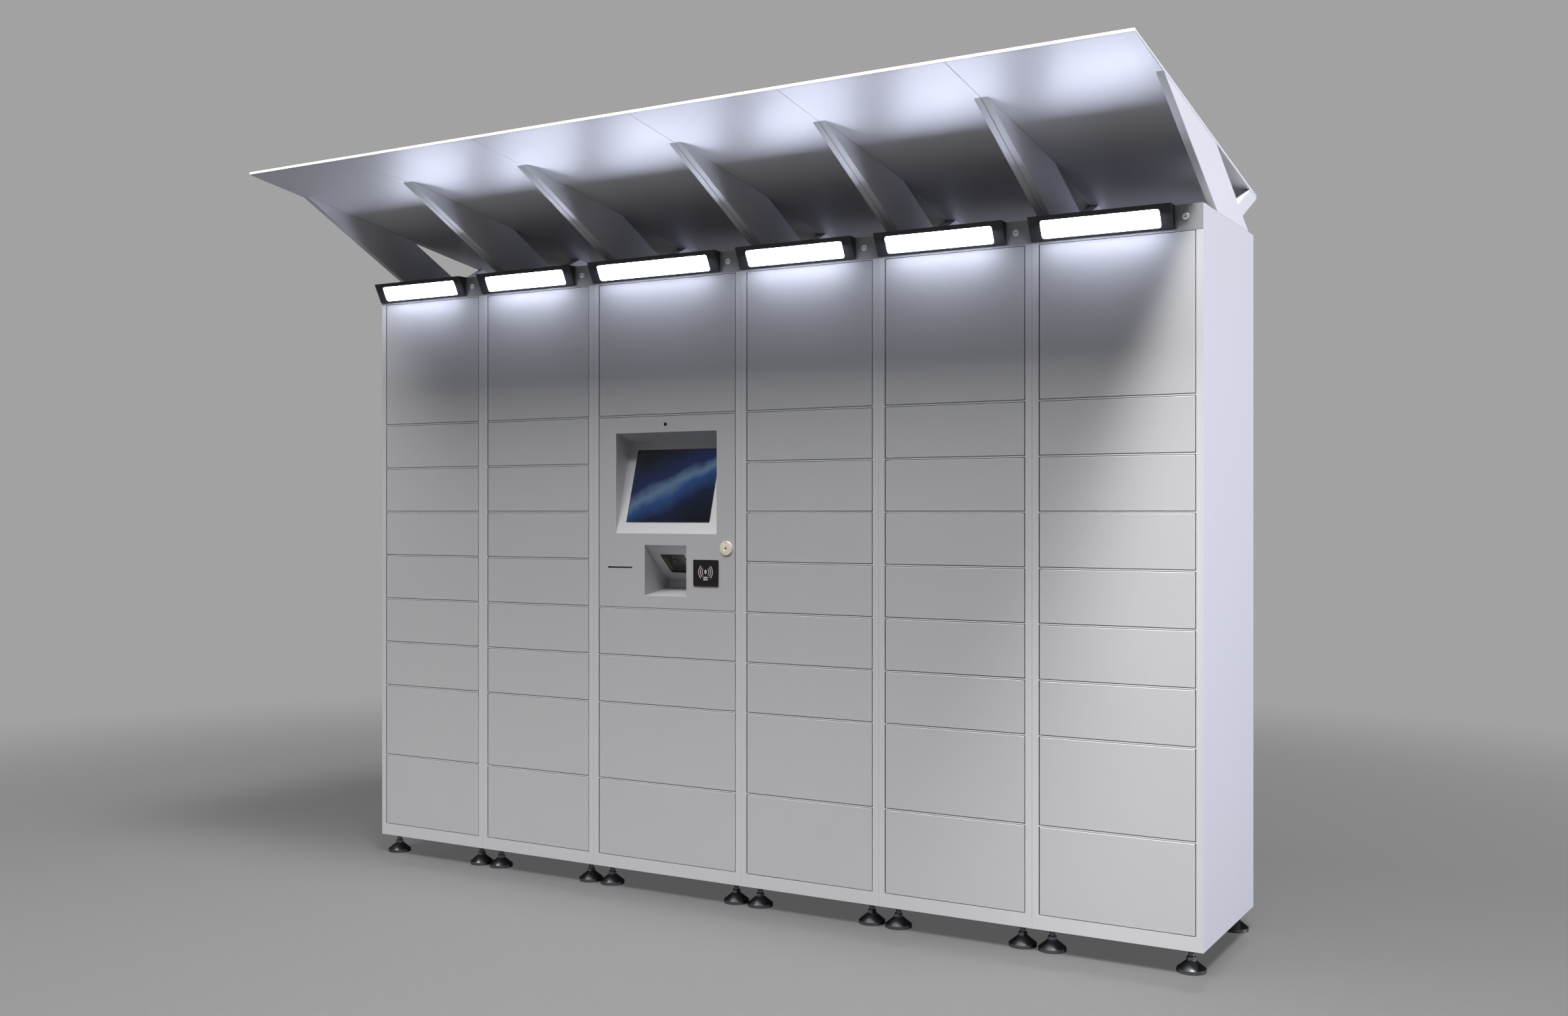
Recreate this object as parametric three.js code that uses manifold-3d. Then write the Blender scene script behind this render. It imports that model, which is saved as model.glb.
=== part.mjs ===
// A bank of parcel lockers: six sheet-steel cabinets in a row under one lean-to canopy.
// Each cabinet holds a column of compartments with hinged doors; the wide third cabinet
// also holds a hinged service panel with a touch screen, a scanner, a card reader and a
// receipt slot. Millimetres, +Z up, +X to the right of someone facing the doors (who looks
// along +Y). The origin is on the floor, under the middle of the canopy.

import * as THREE from 'three';
import { mergeVertices } from 'three/addons/utils/BufferGeometryUtils.js';
import Module from 'manifold-3d';

const wasm = await Module();
wasm.setup();

// ---------------------------------------------------------------- driving dimensions

// cabinets, from left to right
const CABINET_COUNT = 6;
const CONTROL_CABINET = 3; // the wide one, counted from 1
const CABINET_WIDTH = 460;
const CONTROL_CABINET_WIDTH = 550;
const CABINET_DEPTH = 534;
const SEAM = 0.5; // gap between two cabinets
const SEAT = 0.375; // gap between pieces that rest on each other

// rows, from the floor up
const FOOT_HEIGHT = 62;
const RAIL_HEIGHT = 37;
const LARGE_COUNT = 2;
const LARGE_PITCH = 241;
const SMALL_COUNT = 6;
const SMALL_PITCH = 150;
const TALL_PITCH = 420;
const HEADER_HEIGHT = 66;

// sheet metal
const SHEET = 1.5;
const POST_WIDTH = 19;
const SHELF_LIP_HEIGHT = 3.5;
const GUSSET = 84;
const CABLE_HOLE_RADIUS = 20;

// doors
const DOOR_DEPTH = 18;
const DOOR_SIDE_GAP = 2.5;
const DOOR_END_GAP = 1.625;
const PIVOT_INSET = 5; // from the door's left edge
const PIVOT_DEPTH = 4.5; // behind the door's face
const PIN_RADIUS = 2.3;
const PIN_CLEARANCE = 0.6;
const PIN_ENGAGEMENT = 3; // past the inside of a door's end flange

// electric latches and the strikes on the doors
const STRIKE_WIDTH = 2;
const STRIKE_HEIGHT = 18;
const STRIKE_INSET = 3; // from the door's right edge
const STRIKE_REACH = 8; // past the back of the door
const LATCH_GAP = 1.5; // between the back of the door and the latch
const LATCH_DEPTH = 44;
const LATCH_HEIGHT = 60;
const LATCH_OVERLAP = 17; // how far the latch stands into the doorway
const LATCH_CLEARANCE = 3; // around the strike

// header: light housing and cam lock
const LIGHT_END_MARGIN = 74; // from the housing's right end to the cabinet's right side
const LIGHT_HEIGHT = 60;
const LIGHT_REACH_BOTTOM = 5;
const LIGHT_REACH_TOP = 36;
const LIGHT_WALL = 2;
const LENS_SIDE_INSET = 32;
const LENS_TOP = 12; // below the cabinet's top
const LENS_BOTTOM = 56;
const LENS_RECESS = 3;
const CAM_LOCK_RADIUS = 8.5;
const CAM_LOCK_PROUD = 3;
const CAM_LOCK_INSET = 45; // from the cabinet's right side
const CAM_LOCK_DROP = 32; // below the cabinet's top

// levelling feet
const FOOT_RADIUS = 37.5;
const FOOT_RIM = 9;
const FOOT_CONE_TOP = 28;
const FOOT_STEM_RADIUS = 7;
const FOOT_STEM_REACH = 16; // into the cabinet
const FOOT_INSET = 42;

// canopy
const ROOF_DEPTH = 1146;
const ROOF_REAR_OVERHANG = 39;
const ROOF_THICKNESS = 8;
const ROOF_FRONT_RISE = 278; // underside at the front edge, above the cabinets
const ROOF_REAR_RISE = 112;
const BRACKET_THICKNESS = 19;
const STRUT_FOOT_LENGTH = 340;
const STRUT_REAR_SETBACK = 55; // from the cabinet's back
const STRUT_SLOPE = 0.5;
const ARM_ROOT_LENGTH = 52; // of the strut's rear edge that the arm grows from
const ARM_ROOT_SETBACK = 67; // from the rear end of the strut's foot
const ARM_SLOPE = 0.47;
const ARM_TIP_RADIUS = 9;
const ARM_TIP_SETBACK = 1; // from the roof's rear edge

// service panel
const SCREEN_RECESS_WIDTH = 376.5;
const SCREEN_RECESS_HEIGHT = 313.7;
const SCREEN_RECESS_DROP = 53; // from the top of the panel's row
const SCREEN_TILT = THREE.MathUtils.degToRad(15.9);
const GLASS_WIDTH = 309;
const GLASS_HEIGHT = 235;
const GLASS_RISE = 37; // from the bottom of the sloping plate
const GLASS_CLEARANCE = 0.5;
const GLASS_SUNK = 0.5;
const DISPLAY_BORDER = 10;
const DISPLAY_DEPTH = 28;
const SCANNER_RECESS_WIDTH = 155.5;
const SCANNER_RECESS_RISE = 41; // from the bottom of the panel's row
const SCANNER_RECESS_HEIGHT = 157;
const SCANNER_PLATE_DEPTH = 136;
const SCANNER_PLATE_DROP = 118;
const SCANNER_FLOOR_DEPTH = 130;
const SCANNER_FLOOR_RISE = 21;
const SCANNER_WINDOW = 89;
const SCANNER_BORDER = 6;
const SCANNER_DEPTH = 45;
const CAMERA_DROP = 29;
const CAMERA_RADIUS = 6;
const CAMERA_BARREL_RADIUS = 9;
const CAMERA_BARREL_DEPTH = 25;
const READER_WIDTH = 90;
const READER_HEIGHT = 80;
const READER_PROUD = 1;
const READER_SIDE_INSET = 61; // from the right edge of the doorway
const READER_RISE = 115; // centre, from the bottom of the panel's row
const READER_MODULE_DEPTH = 22;
const READER_MODULE_BORDER = 12;
const SERVICE_LOCK_RADIUS = 21;
const SERVICE_LOCK_PROUD = 3;
const SERVICE_LOCK_BARREL_RADIUS = 10;
const SERVICE_LOCK_BARREL_DEPTH = 24;
const SERVICE_LOCK_CAM = { width: 12, length: 36, thickness: 3 };
const SERVICE_LOCK_INSET = 33;
const SERVICE_LOCK_RISE = 191;
const RECEIPT_SLOT_WIDTH = 92;
const RECEIPT_SLOT_HEIGHT = 2.5;
const RECEIPT_SLOT_INSET = 37.6; // from the left edge of the doorway
const RECEIPT_SLOT_RISE = 127;
const PRINTER_BORDER = 8;
const PRINTER_HEIGHT = 70;
const PRINTER_DEPTH = 80;
const PRINTER_SLOT_DEPTH = 40;

const PIN_SEGMENTS = 8;
const FOOT_SEGMENTS = 8;
const ROUND_SEGMENTS = 16;
const ARC_SEGMENTS = 8; // in a profile's round corner
const BITE = 0.5; // overlap that welds two pieces of one node together
const PAST = 5; // how far a cut runs past what it cuts
const GRID = 1 / 64; // that the corners of each finished piece lie on
const SAME_POINT = 1e-4; // corners closer than this are one

// ---------------------------------------------------------------- worked-out dimensions

const CABINET_HEIGHT = RAIL_HEIGHT + LARGE_COUNT * LARGE_PITCH + SMALL_COUNT * SMALL_PITCH
  + TALL_PITCH + HEADER_HEIGHT;
const BASE = FOOT_HEIGHT;
const TOP = BASE + CABINET_HEIGHT;
// the service panel takes the place of as many small rows as its two recesses need
const SERVICE_ROWS = Math.ceil(
  (SCREEN_RECESS_DROP + SCREEN_RECESS_HEIGHT + SCANNER_RECESS_HEIGHT + SCANNER_RECESS_RISE) / SMALL_PITCH,
);
const SERVICE_HEIGHT = SERVICE_ROWS * SMALL_PITCH;
const TOTAL_WIDTH = (CABINET_COUNT - 1) * CABINET_WIDTH + CONTROL_CABINET_WIDTH;
const FRONT_Y = ROOF_DEPTH / 2 - ROOF_REAR_OVERHANG - CABINET_DEPTH;
const ROOF_SLOPE = (ROOF_FRONT_RISE - ROOF_REAR_RISE) / ROOF_DEPTH;
const ROOF_FRONT = -FRONT_Y - ROOF_DEPTH / 2; // behind the doors' front plane, so negative
const ROOF_REAR = ROOF_FRONT + ROOF_DEPTH;
const LIP_HALF = SHELF_LIP_HEIGHT / 2;

// ---------------------------------------------------------------- materials

const steel = (color, roughness) => new THREE.MeshStandardMaterial({ color, roughness, metalness: 0.9 });
const DOOR_STEEL = steel('#a9abae', 0.4);
const CABINET_STEEL = steel('#b4b6ba', 0.4);
const CANOPY_STEEL = steel('#c6c8d2', 0.45);
const SCREEN_GLASS = new THREE.MeshStandardMaterial({ color: '#2f6aa0', roughness: 0.1 });
const SCANNER_GLASS = new THREE.MeshStandardMaterial({ color: '#10130f', roughness: 0.15 });

// ---------------------------------------------------------------- solids

function solid(geometry) {
  const bare = geometry.clone();
  bare.deleteAttribute('normal');
  bare.deleteAttribute('uv');
  const merged = mergeVertices(bare, SAME_POINT);
  return new wasm.Manifold(new wasm.Mesh({
    numProp: 3,
    vertProperties: new Float32Array(merged.attributes.position.array),
    triVerts: new Uint32Array(merged.index.array),
  }));
}

function join(...pieces) {
  return pieces.flat().reduce((whole, piece) => whole.add(piece));
}

function cut(whole, ...pieces) {
  return pieces.flat().reduce((rest, piece) => rest.subtract(piece), whole);
}

// Each face lies exactly at the value given, so boxes that share a value meet face to face.
function box([x0, x1], [y0, y1], [z0, z1]) {
  const geometry = new THREE.BoxGeometry();
  const corners = geometry.attributes.position;
  for (let i = 0; i < corners.count; i += 1) {
    corners.setXYZ(
      i,
      corners.getX(i) < 0 ? x0 : x1,
      corners.getY(i) < 0 ? y0 : y1,
      corners.getZ(i) < 0 ? z0 : z1,
    );
  }
  return solid(geometry);
}

// a profile of [y, z] points, or a THREE.Shape in y and z, run along X
function bar(profile, [x0, x1]) {
  const shape = profile instanceof THREE.Shape
    ? profile
    : new THREE.Shape(profile.map(([y, z]) => new THREE.Vector2(y, z)));
  const geometry = new THREE.ExtrudeGeometry(shape, { depth: 1, bevelEnabled: false, curveSegments: ARC_SEGMENTS });
  const corners = geometry.attributes.position;
  for (let i = 0; i < corners.count; i += 1) {
    corners.setXYZ(i, corners.getZ(i) === 0 ? x0 : x1, corners.getX(i), corners.getY(i));
  }
  return solid(geometry);
}

// a round bar from y0 back to y1, centred on x, z
function plug(x, z, radius, [y0, y1]) {
  const geometry = new THREE.CylinderGeometry(radius, radius, y1 - y0, ROUND_SEGMENTS);
  geometry.translate(x, (y0 + y1) / 2, z);
  return solid(geometry);
}

// a round bar that stands on end from z0 up to z1
function pin(x, y, radius, [z0, z1]) {
  const geometry = new THREE.CylinderGeometry(radius, radius, z1 - z0, PIN_SEGMENTS);
  geometry.rotateX(Math.PI / 2);
  geometry.translate(x, y, (z0 + z1) / 2);
  return solid(geometry);
}

// Moves each edge of a convex profile outwards by its own distance. The profile runs
// anticlockwise with y to the right and z up; edge i goes from point i to the next one.
function grow(profile, distances) {
  const lines = profile.map((a, i) => {
    const b = profile[(i + 1) % profile.length];
    const length = Math.hypot(b[0] - a[0], b[1] - a[1]);
    const out = [(b[1] - a[1]) / length, (a[0] - b[0]) / length];
    return { out, reach: out[0] * a[0] + out[1] * a[1] + distances[i] };
  });
  return lines.map((line, i) => {
    const before = lines[(i + lines.length - 1) % lines.length];
    const det = before.out[0] * line.out[1] - before.out[1] * line.out[0];
    return [
      (before.reach * line.out[1] - line.reach * before.out[1]) / det,
      (before.out[0] * line.reach - line.out[0] * before.reach) / det,
    ];
  });
}

// a box in a sloping plate's own directions: across X, up the plate, and behind it
function behindPlate(start, up, [x0, x1], [s0, s1], [n0, n1]) {
  const back = [up[1], -up[0]];
  const at = (s, n) => [start[0] + s * up[0] + n * back[0], start[1] + s * up[1] + n * back[1]];
  return bar([at(s0, n0), at(s0, n1), at(s1, n1), at(s1, n0)], [x0, x1]);
}

function geometryOf(body) {
  const { numProp, vertProperties, triVerts } = body.getMesh();
  const positions = new Float32Array((vertProperties.length / numProp) * 3);
  for (let i = 0; i < positions.length / 3; i += 1) {
    positions.set(vertProperties.subarray(i * numProp, i * numProp + 3), i * 3);
  }
  const geometry = new THREE.BufferGeometry();
  geometry.setAttribute('position', new THREE.BufferAttribute(positions, 3));
  geometry.setIndex(new THREE.BufferAttribute(new Uint32Array(triVerts), 1));
  return geometry;
}

// Puts every corner on a fine grid, which closes the hair-thin faces that joining flush
// sheets leaves behind.
function settle(body) {
  const geometry = geometryOf(body);
  const corners = geometry.attributes.position;
  corners.array.forEach((value, i) => {
    corners.array[i] = Math.round(value / GRID) * GRID;
  });
  const merged = mergeVertices(geometry, SAME_POINT);
  const faces = [];
  for (let i = 0; i < merged.index.count; i += 3) {
    const [a, b, c] = merged.index.array.subarray(i, i + 3);
    if (a !== b && b !== c && c !== a) faces.push(a, b, c);
  }
  merged.setIndex(faces);
  return solid(merged).simplify();
}

function add(parent, name, body, material) {
  const geometry = geometryOf(settle(body));
  geometry.computeVertexNormals();
  const mesh = new THREE.Mesh(geometry, material);
  mesh.name = name;
  parent.add(mesh);
}

// ---------------------------------------------------------------- rows of compartments

// from the bottom up; bottom and top are the row lines, which are the middles of the shelves
function rowsOf(hasControls) {
  const rows = [];
  let line = BASE + RAIL_HEIGHT;
  const push = (name, height, kind) => {
    rows.push({ name, kind, bottom: line, top: line + height });
    line += height;
  };
  for (let i = LARGE_COUNT; i >= 1; i -= 1) push(`large_${i}`, LARGE_PITCH, 'door');
  const smallDoors = hasControls ? SMALL_COUNT - SERVICE_ROWS : SMALL_COUNT;
  for (let i = 0; i < smallDoors; i += 1) push(`small_${SMALL_COUNT - i}`, SMALL_PITCH, 'door');
  if (hasControls) push('service', SERVICE_HEIGHT, 'service');
  push('tall', TALL_PITCH, 'door');
  return rows;
}

// the space that a door fills: the lowest row rests on the rail, the highest under the header
function doorway(row, column) {
  return {
    x: [column.left + POST_WIDTH, column.right - POST_WIDTH],
    z: [row.bottom + LIP_HALF, row.top - LIP_HALF],
  };
}

// ---------------------------------------------------------------- cabinet

function latch(column, row) {
  const middle = (row.bottom + row.top) / 2;
  const right = column.right - POST_WIDTH;
  const strike = right - DOOR_SIDE_GAP - STRIKE_INSET;
  const front = DOOR_DEPTH + LATCH_GAP;
  const reach = DOOR_DEPTH + STRIKE_REACH;
  const half = STRIKE_HEIGHT / 2 + LATCH_CLEARANCE;
  const body = box(
    [right - LATCH_OVERLAP, column.right - SEAM / 2 - SHEET],
    [front, front + LATCH_DEPTH],
    [middle - LATCH_HEIGHT / 2, middle + LATCH_HEIGHT / 2],
  );
  const slot = box(
    [strike - STRIKE_WIDTH - LATCH_CLEARANCE, strike + LATCH_CLEARANCE],
    [front - PAST, reach + LATCH_CLEARANCE],
    [middle - half, middle + half],
  );
  return cut(body, slot);
}

function post(column, side) {
  const outer = side < 0 ? column.left + SEAM / 2 : column.right - SEAM / 2;
  const inner = side < 0 ? column.left + POST_WIDTH : column.right - POST_WIDTH;
  const span = (a, b) => [Math.min(a, b), Math.max(a, b)];
  return [
    box(span(outer, inner), [0, SHEET], [BASE, TOP]),
    box(span(inner + side * SHEET, inner), [0, DOOR_DEPTH], [BASE, TOP]),
  ];
}

// the pin through a shelf's lip, which the door above and the door below both turn on
function hingePin(column, line) {
  const reach = LIP_HALF + DOOR_END_GAP + SHEET + PIN_ENGAGEMENT;
  return pin(pivotX(column), PIVOT_DEPTH, PIN_RADIUS, [line - reach, line + reach]);
}

function pivotX(column) {
  return column.left + POST_WIDTH + DOOR_SIDE_GAP + PIVOT_INSET;
}

// A shelf's lip closes the gap between two doors and carries their hinge pin. Behind the
// posts, the shelf is a plate from wall to wall.
function shelf(column, line) {
  const walls = [column.left + SEAM / 2 + SHEET, column.right - SEAM / 2 - SHEET];
  const posts = [column.left + POST_WIDTH, column.right - POST_WIDTH];
  return [
    box(walls, [DOOR_DEPTH, CABINET_DEPTH - SHEET], [line + LIP_HALF - SHEET, line + LIP_HALF]),
    box(posts, [0, DOOR_DEPTH], [line - LIP_HALF, line + LIP_HALF]),
    hingePin(column, line),
  ];
}

function foot(x, y) {
  const geometry = new THREE.LatheGeometry([
    [0, 0],
    [FOOT_RADIUS, 0],
    [FOOT_RADIUS, FOOT_RIM],
    [FOOT_STEM_RADIUS, FOOT_CONE_TOP],
    [FOOT_STEM_RADIUS, BASE + FOOT_STEM_REACH],
    [0, BASE + FOOT_STEM_REACH],
  ].map(([r, z]) => new THREE.Vector2(r, z)), FOOT_SEGMENTS);
  geometry.rotateX(Math.PI / 2);
  geometry.translate(x, y, 0);
  return solid(geometry);
}

function feet(column) {
  const outer = [column.left + SEAM / 2, column.right - SEAM / 2];
  const xs = [[outer[0], outer[0] + GUSSET], [outer[1] - GUSSET, outer[1]]];
  const ys = [[0, GUSSET], [CABINET_DEPTH - GUSSET, CABINET_DEPTH]];
  const footX = [column.left + FOOT_INSET, column.right - FOOT_INSET];
  const footY = [FOOT_INSET, CABINET_DEPTH - FOOT_INSET];
  return xs.flatMap((x, i) => ys.flatMap((y, j) => [
    box(x, y, [BASE, BASE + SHEET]),
    foot(footX[i], footY[j]),
  ]));
}

// The wedge that holds the light, open at its back into the header. Its sloping face
// leans out over the doors, and its lens lies in a shallow recess.
function lightHousing(column) {
  const x = [column.left + SEAM / 2, column.right - LIGHT_END_MARGIN];
  const lean = (LIGHT_REACH_TOP - LIGHT_REACH_BOTTOM) / LIGHT_HEIGHT;
  const face = (drop) => -(LIGHT_REACH_TOP - lean * drop);
  const root = SHEET;
  const outside = [
    [root, TOP - LIGHT_HEIGHT],
    [root, TOP],
    [face(0), TOP],
    [face(LIGHT_HEIGHT), TOP - LIGHT_HEIGHT],
  ];
  const wall = LENS_RECESS + LIGHT_WALL;
  const drop = LIGHT_HEIGHT - wall * 2;
  const steep = Math.hypot(1, lean);
  const inside = [
    [root + PAST, TOP - drop],
    [root + PAST, TOP - LIGHT_WALL],
    [face(LIGHT_WALL) + wall * steep, TOP - LIGHT_WALL],
    [face(drop) + wall * steep, TOP - drop],
  ];
  const recess = [
    [face(LENS_TOP) - PAST, TOP - LENS_TOP],
    [face(LENS_BOTTOM) - PAST, TOP - LENS_BOTTOM],
    [face(LENS_BOTTOM) + LENS_RECESS * steep, TOP - LENS_BOTTOM],
    [face(LENS_TOP) + LENS_RECESS * steep, TOP - LENS_TOP],
  ];
  return {
    body: bar(outside, x),
    cavity: bar(inside, [x[0] + LIGHT_WALL, x[1] - LIGHT_WALL]),
    recess: bar(recess, [x[0] + LENS_SIDE_INSET, x[1] - LENS_SIDE_INSET]),
  };
}

function cabinet(column) {
  const outer = [column.left + SEAM / 2, column.right - SEAM / 2];
  const depth = [0, CABINET_DEPTH];
  const height = [BASE, TOP];
  const headerLine = TOP - HEADER_HEIGHT;
  const light = lightHousing(column);
  const lockX = column.right - CAM_LOCK_INSET;
  const lockZ = TOP - CAM_LOCK_DROP;
  const cableHole = plug(
    column.middle,
    TOP - HEADER_HEIGHT / 2,
    CABLE_HOLE_RADIUS,
    [CABINET_DEPTH - PAST, CABINET_DEPTH + PAST],
  );
  const lines = [...column.rows.map((row) => row.bottom), headerLine];
  const sheets = [
    box([outer[0], outer[0] + SHEET], depth, height),
    box([outer[1] - SHEET, outer[1]], depth, height),
    box(outer, [CABINET_DEPTH - SHEET, CABINET_DEPTH], height),
    box(outer, depth, [TOP - SHEET, TOP]),
    box(outer, [0, SHEET], [BASE, BASE + RAIL_HEIGHT]),
    box(outer, [0, SHEET], [headerLine, TOP]),
  ];
  const latches = column.rows.filter((row) => row.kind === 'door').map((row) => latch(column, row));
  return cut(
    join(
      sheets,
      post(column, -1),
      post(column, 1),
      lines.flatMap((line) => shelf(column, line)),
      latches,
      feet(column),
      light.body,
      plug(lockX, lockZ, CAM_LOCK_RADIUS, [-CAM_LOCK_PROUD, SHEET]),
    ),
    light.cavity,
    light.recess,
    cableHole,
  );
}

// ---------------------------------------------------------------- doors

// a shallow tray: a face and four flanges, with a pin hole in the top and bottom flanges
function tray(column, row) {
  const way = doorway(row, column);
  const x = [way.x[0] + DOOR_SIDE_GAP, way.x[1] - DOOR_SIDE_GAP];
  const z = [way.z[0] + DOOR_END_GAP, way.z[1] - DOOR_END_GAP];
  const hollow = box(
    [x[0] + SHEET, x[1] - SHEET],
    [SHEET, DOOR_DEPTH + PAST],
    [z[0] + SHEET, z[1] - SHEET],
  );
  const holes = z.map((end) => pin(
    pivotX(column),
    PIVOT_DEPTH,
    PIN_RADIUS + PIN_CLEARANCE,
    [end - PAST, end + PAST],
  ));
  return { x, body: cut(box(x, [0, DOOR_DEPTH], z), hollow, holes) };
}

function door(column, row) {
  const { x, body } = tray(column, row);
  const middle = (row.bottom + row.top) / 2;
  const strike = box(
    [x[1] - STRIKE_INSET - STRIKE_WIDTH, x[1] - STRIKE_INSET],
    [SHEET - BITE, DOOR_DEPTH + STRIKE_REACH],
    [middle - STRIKE_HEIGHT / 2, middle + STRIKE_HEIGHT / 2],
  );
  return join(body, strike);
}

// ---------------------------------------------------------------- service panel

function screenRecess(column, row) {
  const top = row.top - SCREEN_RECESS_DROP;
  const bottom = top - SCREEN_RECESS_HEIGHT;
  const up = [Math.sin(SCREEN_TILT), Math.cos(SCREEN_TILT)];
  const length = SCREEN_RECESS_HEIGHT * Math.cos(SCREEN_TILT);
  const corner = [length * up[0], bottom + length * up[1]];
  const half = SCREEN_RECESS_WIDTH / 2;
  return {
    start: [0, bottom],
    up,
    x: [column.middle - half, column.middle + half],
    profile: [[0, bottom], corner, [0, top]],
    walls: [SHEET, SHEET, 0],
    mouth: [0, 0, PAST],
  };
}

function scannerRecess(column, row) {
  const bottom = row.bottom + SCANNER_RECESS_RISE;
  const top = bottom + SCANNER_RECESS_HEIGHT;
  const length = Math.hypot(SCANNER_PLATE_DEPTH, SCANNER_PLATE_DROP);
  const foot = [SCANNER_PLATE_DEPTH, top - SCANNER_PLATE_DROP];
  const half = SCANNER_RECESS_WIDTH / 2;
  return {
    start: foot,
    up: [-SCANNER_PLATE_DEPTH / length, SCANNER_PLATE_DROP / length],
    length,
    x: [column.middle - half, column.middle + half],
    profile: [[0, bottom], [SCANNER_FLOOR_DEPTH, bottom + SCANNER_FLOOR_RISE], foot, [0, top]],
    walls: [SHEET, SHEET, SHEET, 0],
    mouth: [0, 0, 0, PAST],
  };
}

function recessShell(recess) {
  return bar(grow(recess.profile, recess.walls), [recess.x[0] - SHEET, recess.x[1] + SHEET]);
}

function recessSpace(recess) {
  const steps = recess.profile;
  const mouth = [[-PAST, steps[steps.length - 1][1]], [-PAST, steps[0][1]]];
  return bar([...steps, ...mouth], recess.x);
}

// the module's place on its sloping plate: across X and up the plate
function screenPlace(column) {
  return {
    x: [column.middle - GLASS_WIDTH / 2, column.middle + GLASS_WIDTH / 2],
    s: [GLASS_RISE, GLASS_RISE + GLASS_HEIGHT],
  };
}

function scannerPlace(column, recess) {
  const half = SCANNER_WINDOW / 2;
  return {
    x: [column.middle - half, column.middle + half],
    s: [recess.length / 2 - half, recess.length / 2 + half],
  };
}

const widen = ([a, b], by) => [a - by, b + by];

// a window in a sloping plate for a module's glass
function plateWindow(recess, place) {
  return behindPlate(
    recess.start,
    recess.up,
    widen(place.x, GLASS_CLEARANCE),
    widen(place.s, GLASS_CLEARANCE),
    [-PAST, SHEET + PAST],
  );
}

// glass that stands in the window, on a wider case clamped behind the plate
function plateModule(recess, place, border, depth) {
  const seat = SHEET + SEAT;
  return join(
    behindPlate(recess.start, recess.up, place.x, place.s, [GLASS_SUNK, seat + BITE]),
    behindPlate(recess.start, recess.up, widen(place.x, border), widen(place.s, border), [seat, seat + depth]),
  );
}

function servicePanel(column, row) {
  const screen = screenRecess(column, row);
  const scanner = scannerRecess(column, row);
  const left = column.left + POST_WIDTH;
  const right = column.right - POST_WIDTH;
  const slotX = [left + RECEIPT_SLOT_INSET, left + RECEIPT_SLOT_INSET + RECEIPT_SLOT_WIDTH];
  const slotZ = row.bottom + RECEIPT_SLOT_RISE;
  const readerX = [right - READER_SIDE_INSET - READER_WIDTH, right - READER_SIDE_INSET];
  const readerMiddle = row.bottom + READER_RISE;
  const readerZ = [readerMiddle - READER_HEIGHT / 2, readerMiddle + READER_HEIGHT / 2];
  const lockX = right - SERVICE_LOCK_INSET;
  const lockZ = row.bottom + SERVICE_LOCK_RISE;
  const cam = SERVICE_LOCK_CAM;
  const cameraZ = row.top - CAMERA_DROP;
  const behind = SHEET - BITE;
  return cut(
    join(
      tray(column, row).body,
      recessShell(screen),
      recessShell(scanner),
      box(widen(slotX, PRINTER_BORDER), [behind, PRINTER_DEPTH], widen([slotZ, slotZ], PRINTER_HEIGHT / 2)),
      box(readerX, [-READER_PROUD, SHEET], readerZ),
      box(
        widen(readerX, -READER_MODULE_BORDER),
        [behind, READER_MODULE_DEPTH],
        widen(readerZ, -READER_MODULE_BORDER),
      ),
      plug(lockX, lockZ, SERVICE_LOCK_RADIUS, [-SERVICE_LOCK_PROUD, SHEET]),
      plug(lockX, lockZ, SERVICE_LOCK_BARREL_RADIUS, [behind, SERVICE_LOCK_BARREL_DEPTH]),
      box(
        widen([lockX, lockX], cam.width / 2),
        [SERVICE_LOCK_BARREL_DEPTH - BITE, SERVICE_LOCK_BARREL_DEPTH + cam.thickness],
        [lockZ - cam.width / 2, lockZ - cam.width / 2 + cam.length],
      ),
      plug(column.middle, cameraZ, CAMERA_BARREL_RADIUS, [behind, CAMERA_BARREL_DEPTH]),
    ),
    recessSpace(screen),
    recessSpace(scanner),
    plateWindow(screen, screenPlace(column)),
    plateWindow(scanner, scannerPlace(column, scanner)),
    box(slotX, [-PAST, PRINTER_SLOT_DEPTH], widen([slotZ, slotZ], RECEIPT_SLOT_HEIGHT / 2)),
    plug(column.middle, cameraZ, CAMERA_RADIUS, [-PAST, SHEET]),
  );
}

function touchScreen(column, row) {
  return plateModule(screenRecess(column, row), screenPlace(column), DISPLAY_BORDER, DISPLAY_DEPTH);
}

function barcodeScanner(column, row) {
  const recess = scannerRecess(column, row);
  return plateModule(recess, scannerPlace(column, recess), SCANNER_BORDER, SCANNER_DEPTH);
}

// ---------------------------------------------------------------- canopy

const underside = (y) => TOP + ROOF_FRONT_RISE - ROOF_SLOPE * (y - ROOF_FRONT);
const roofMiddle = (y) => underside(y) + ROOF_THICKNESS / 2;

// where a line through (y, z) with the given slope meets the middle of the roof's thickness
function meetsRoof(y, z, slope) {
  const meeting = (roofMiddle(0) - z + slope * y) / (slope + ROOF_SLOPE);
  return [meeting, roofMiddle(meeting)];
}

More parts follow.
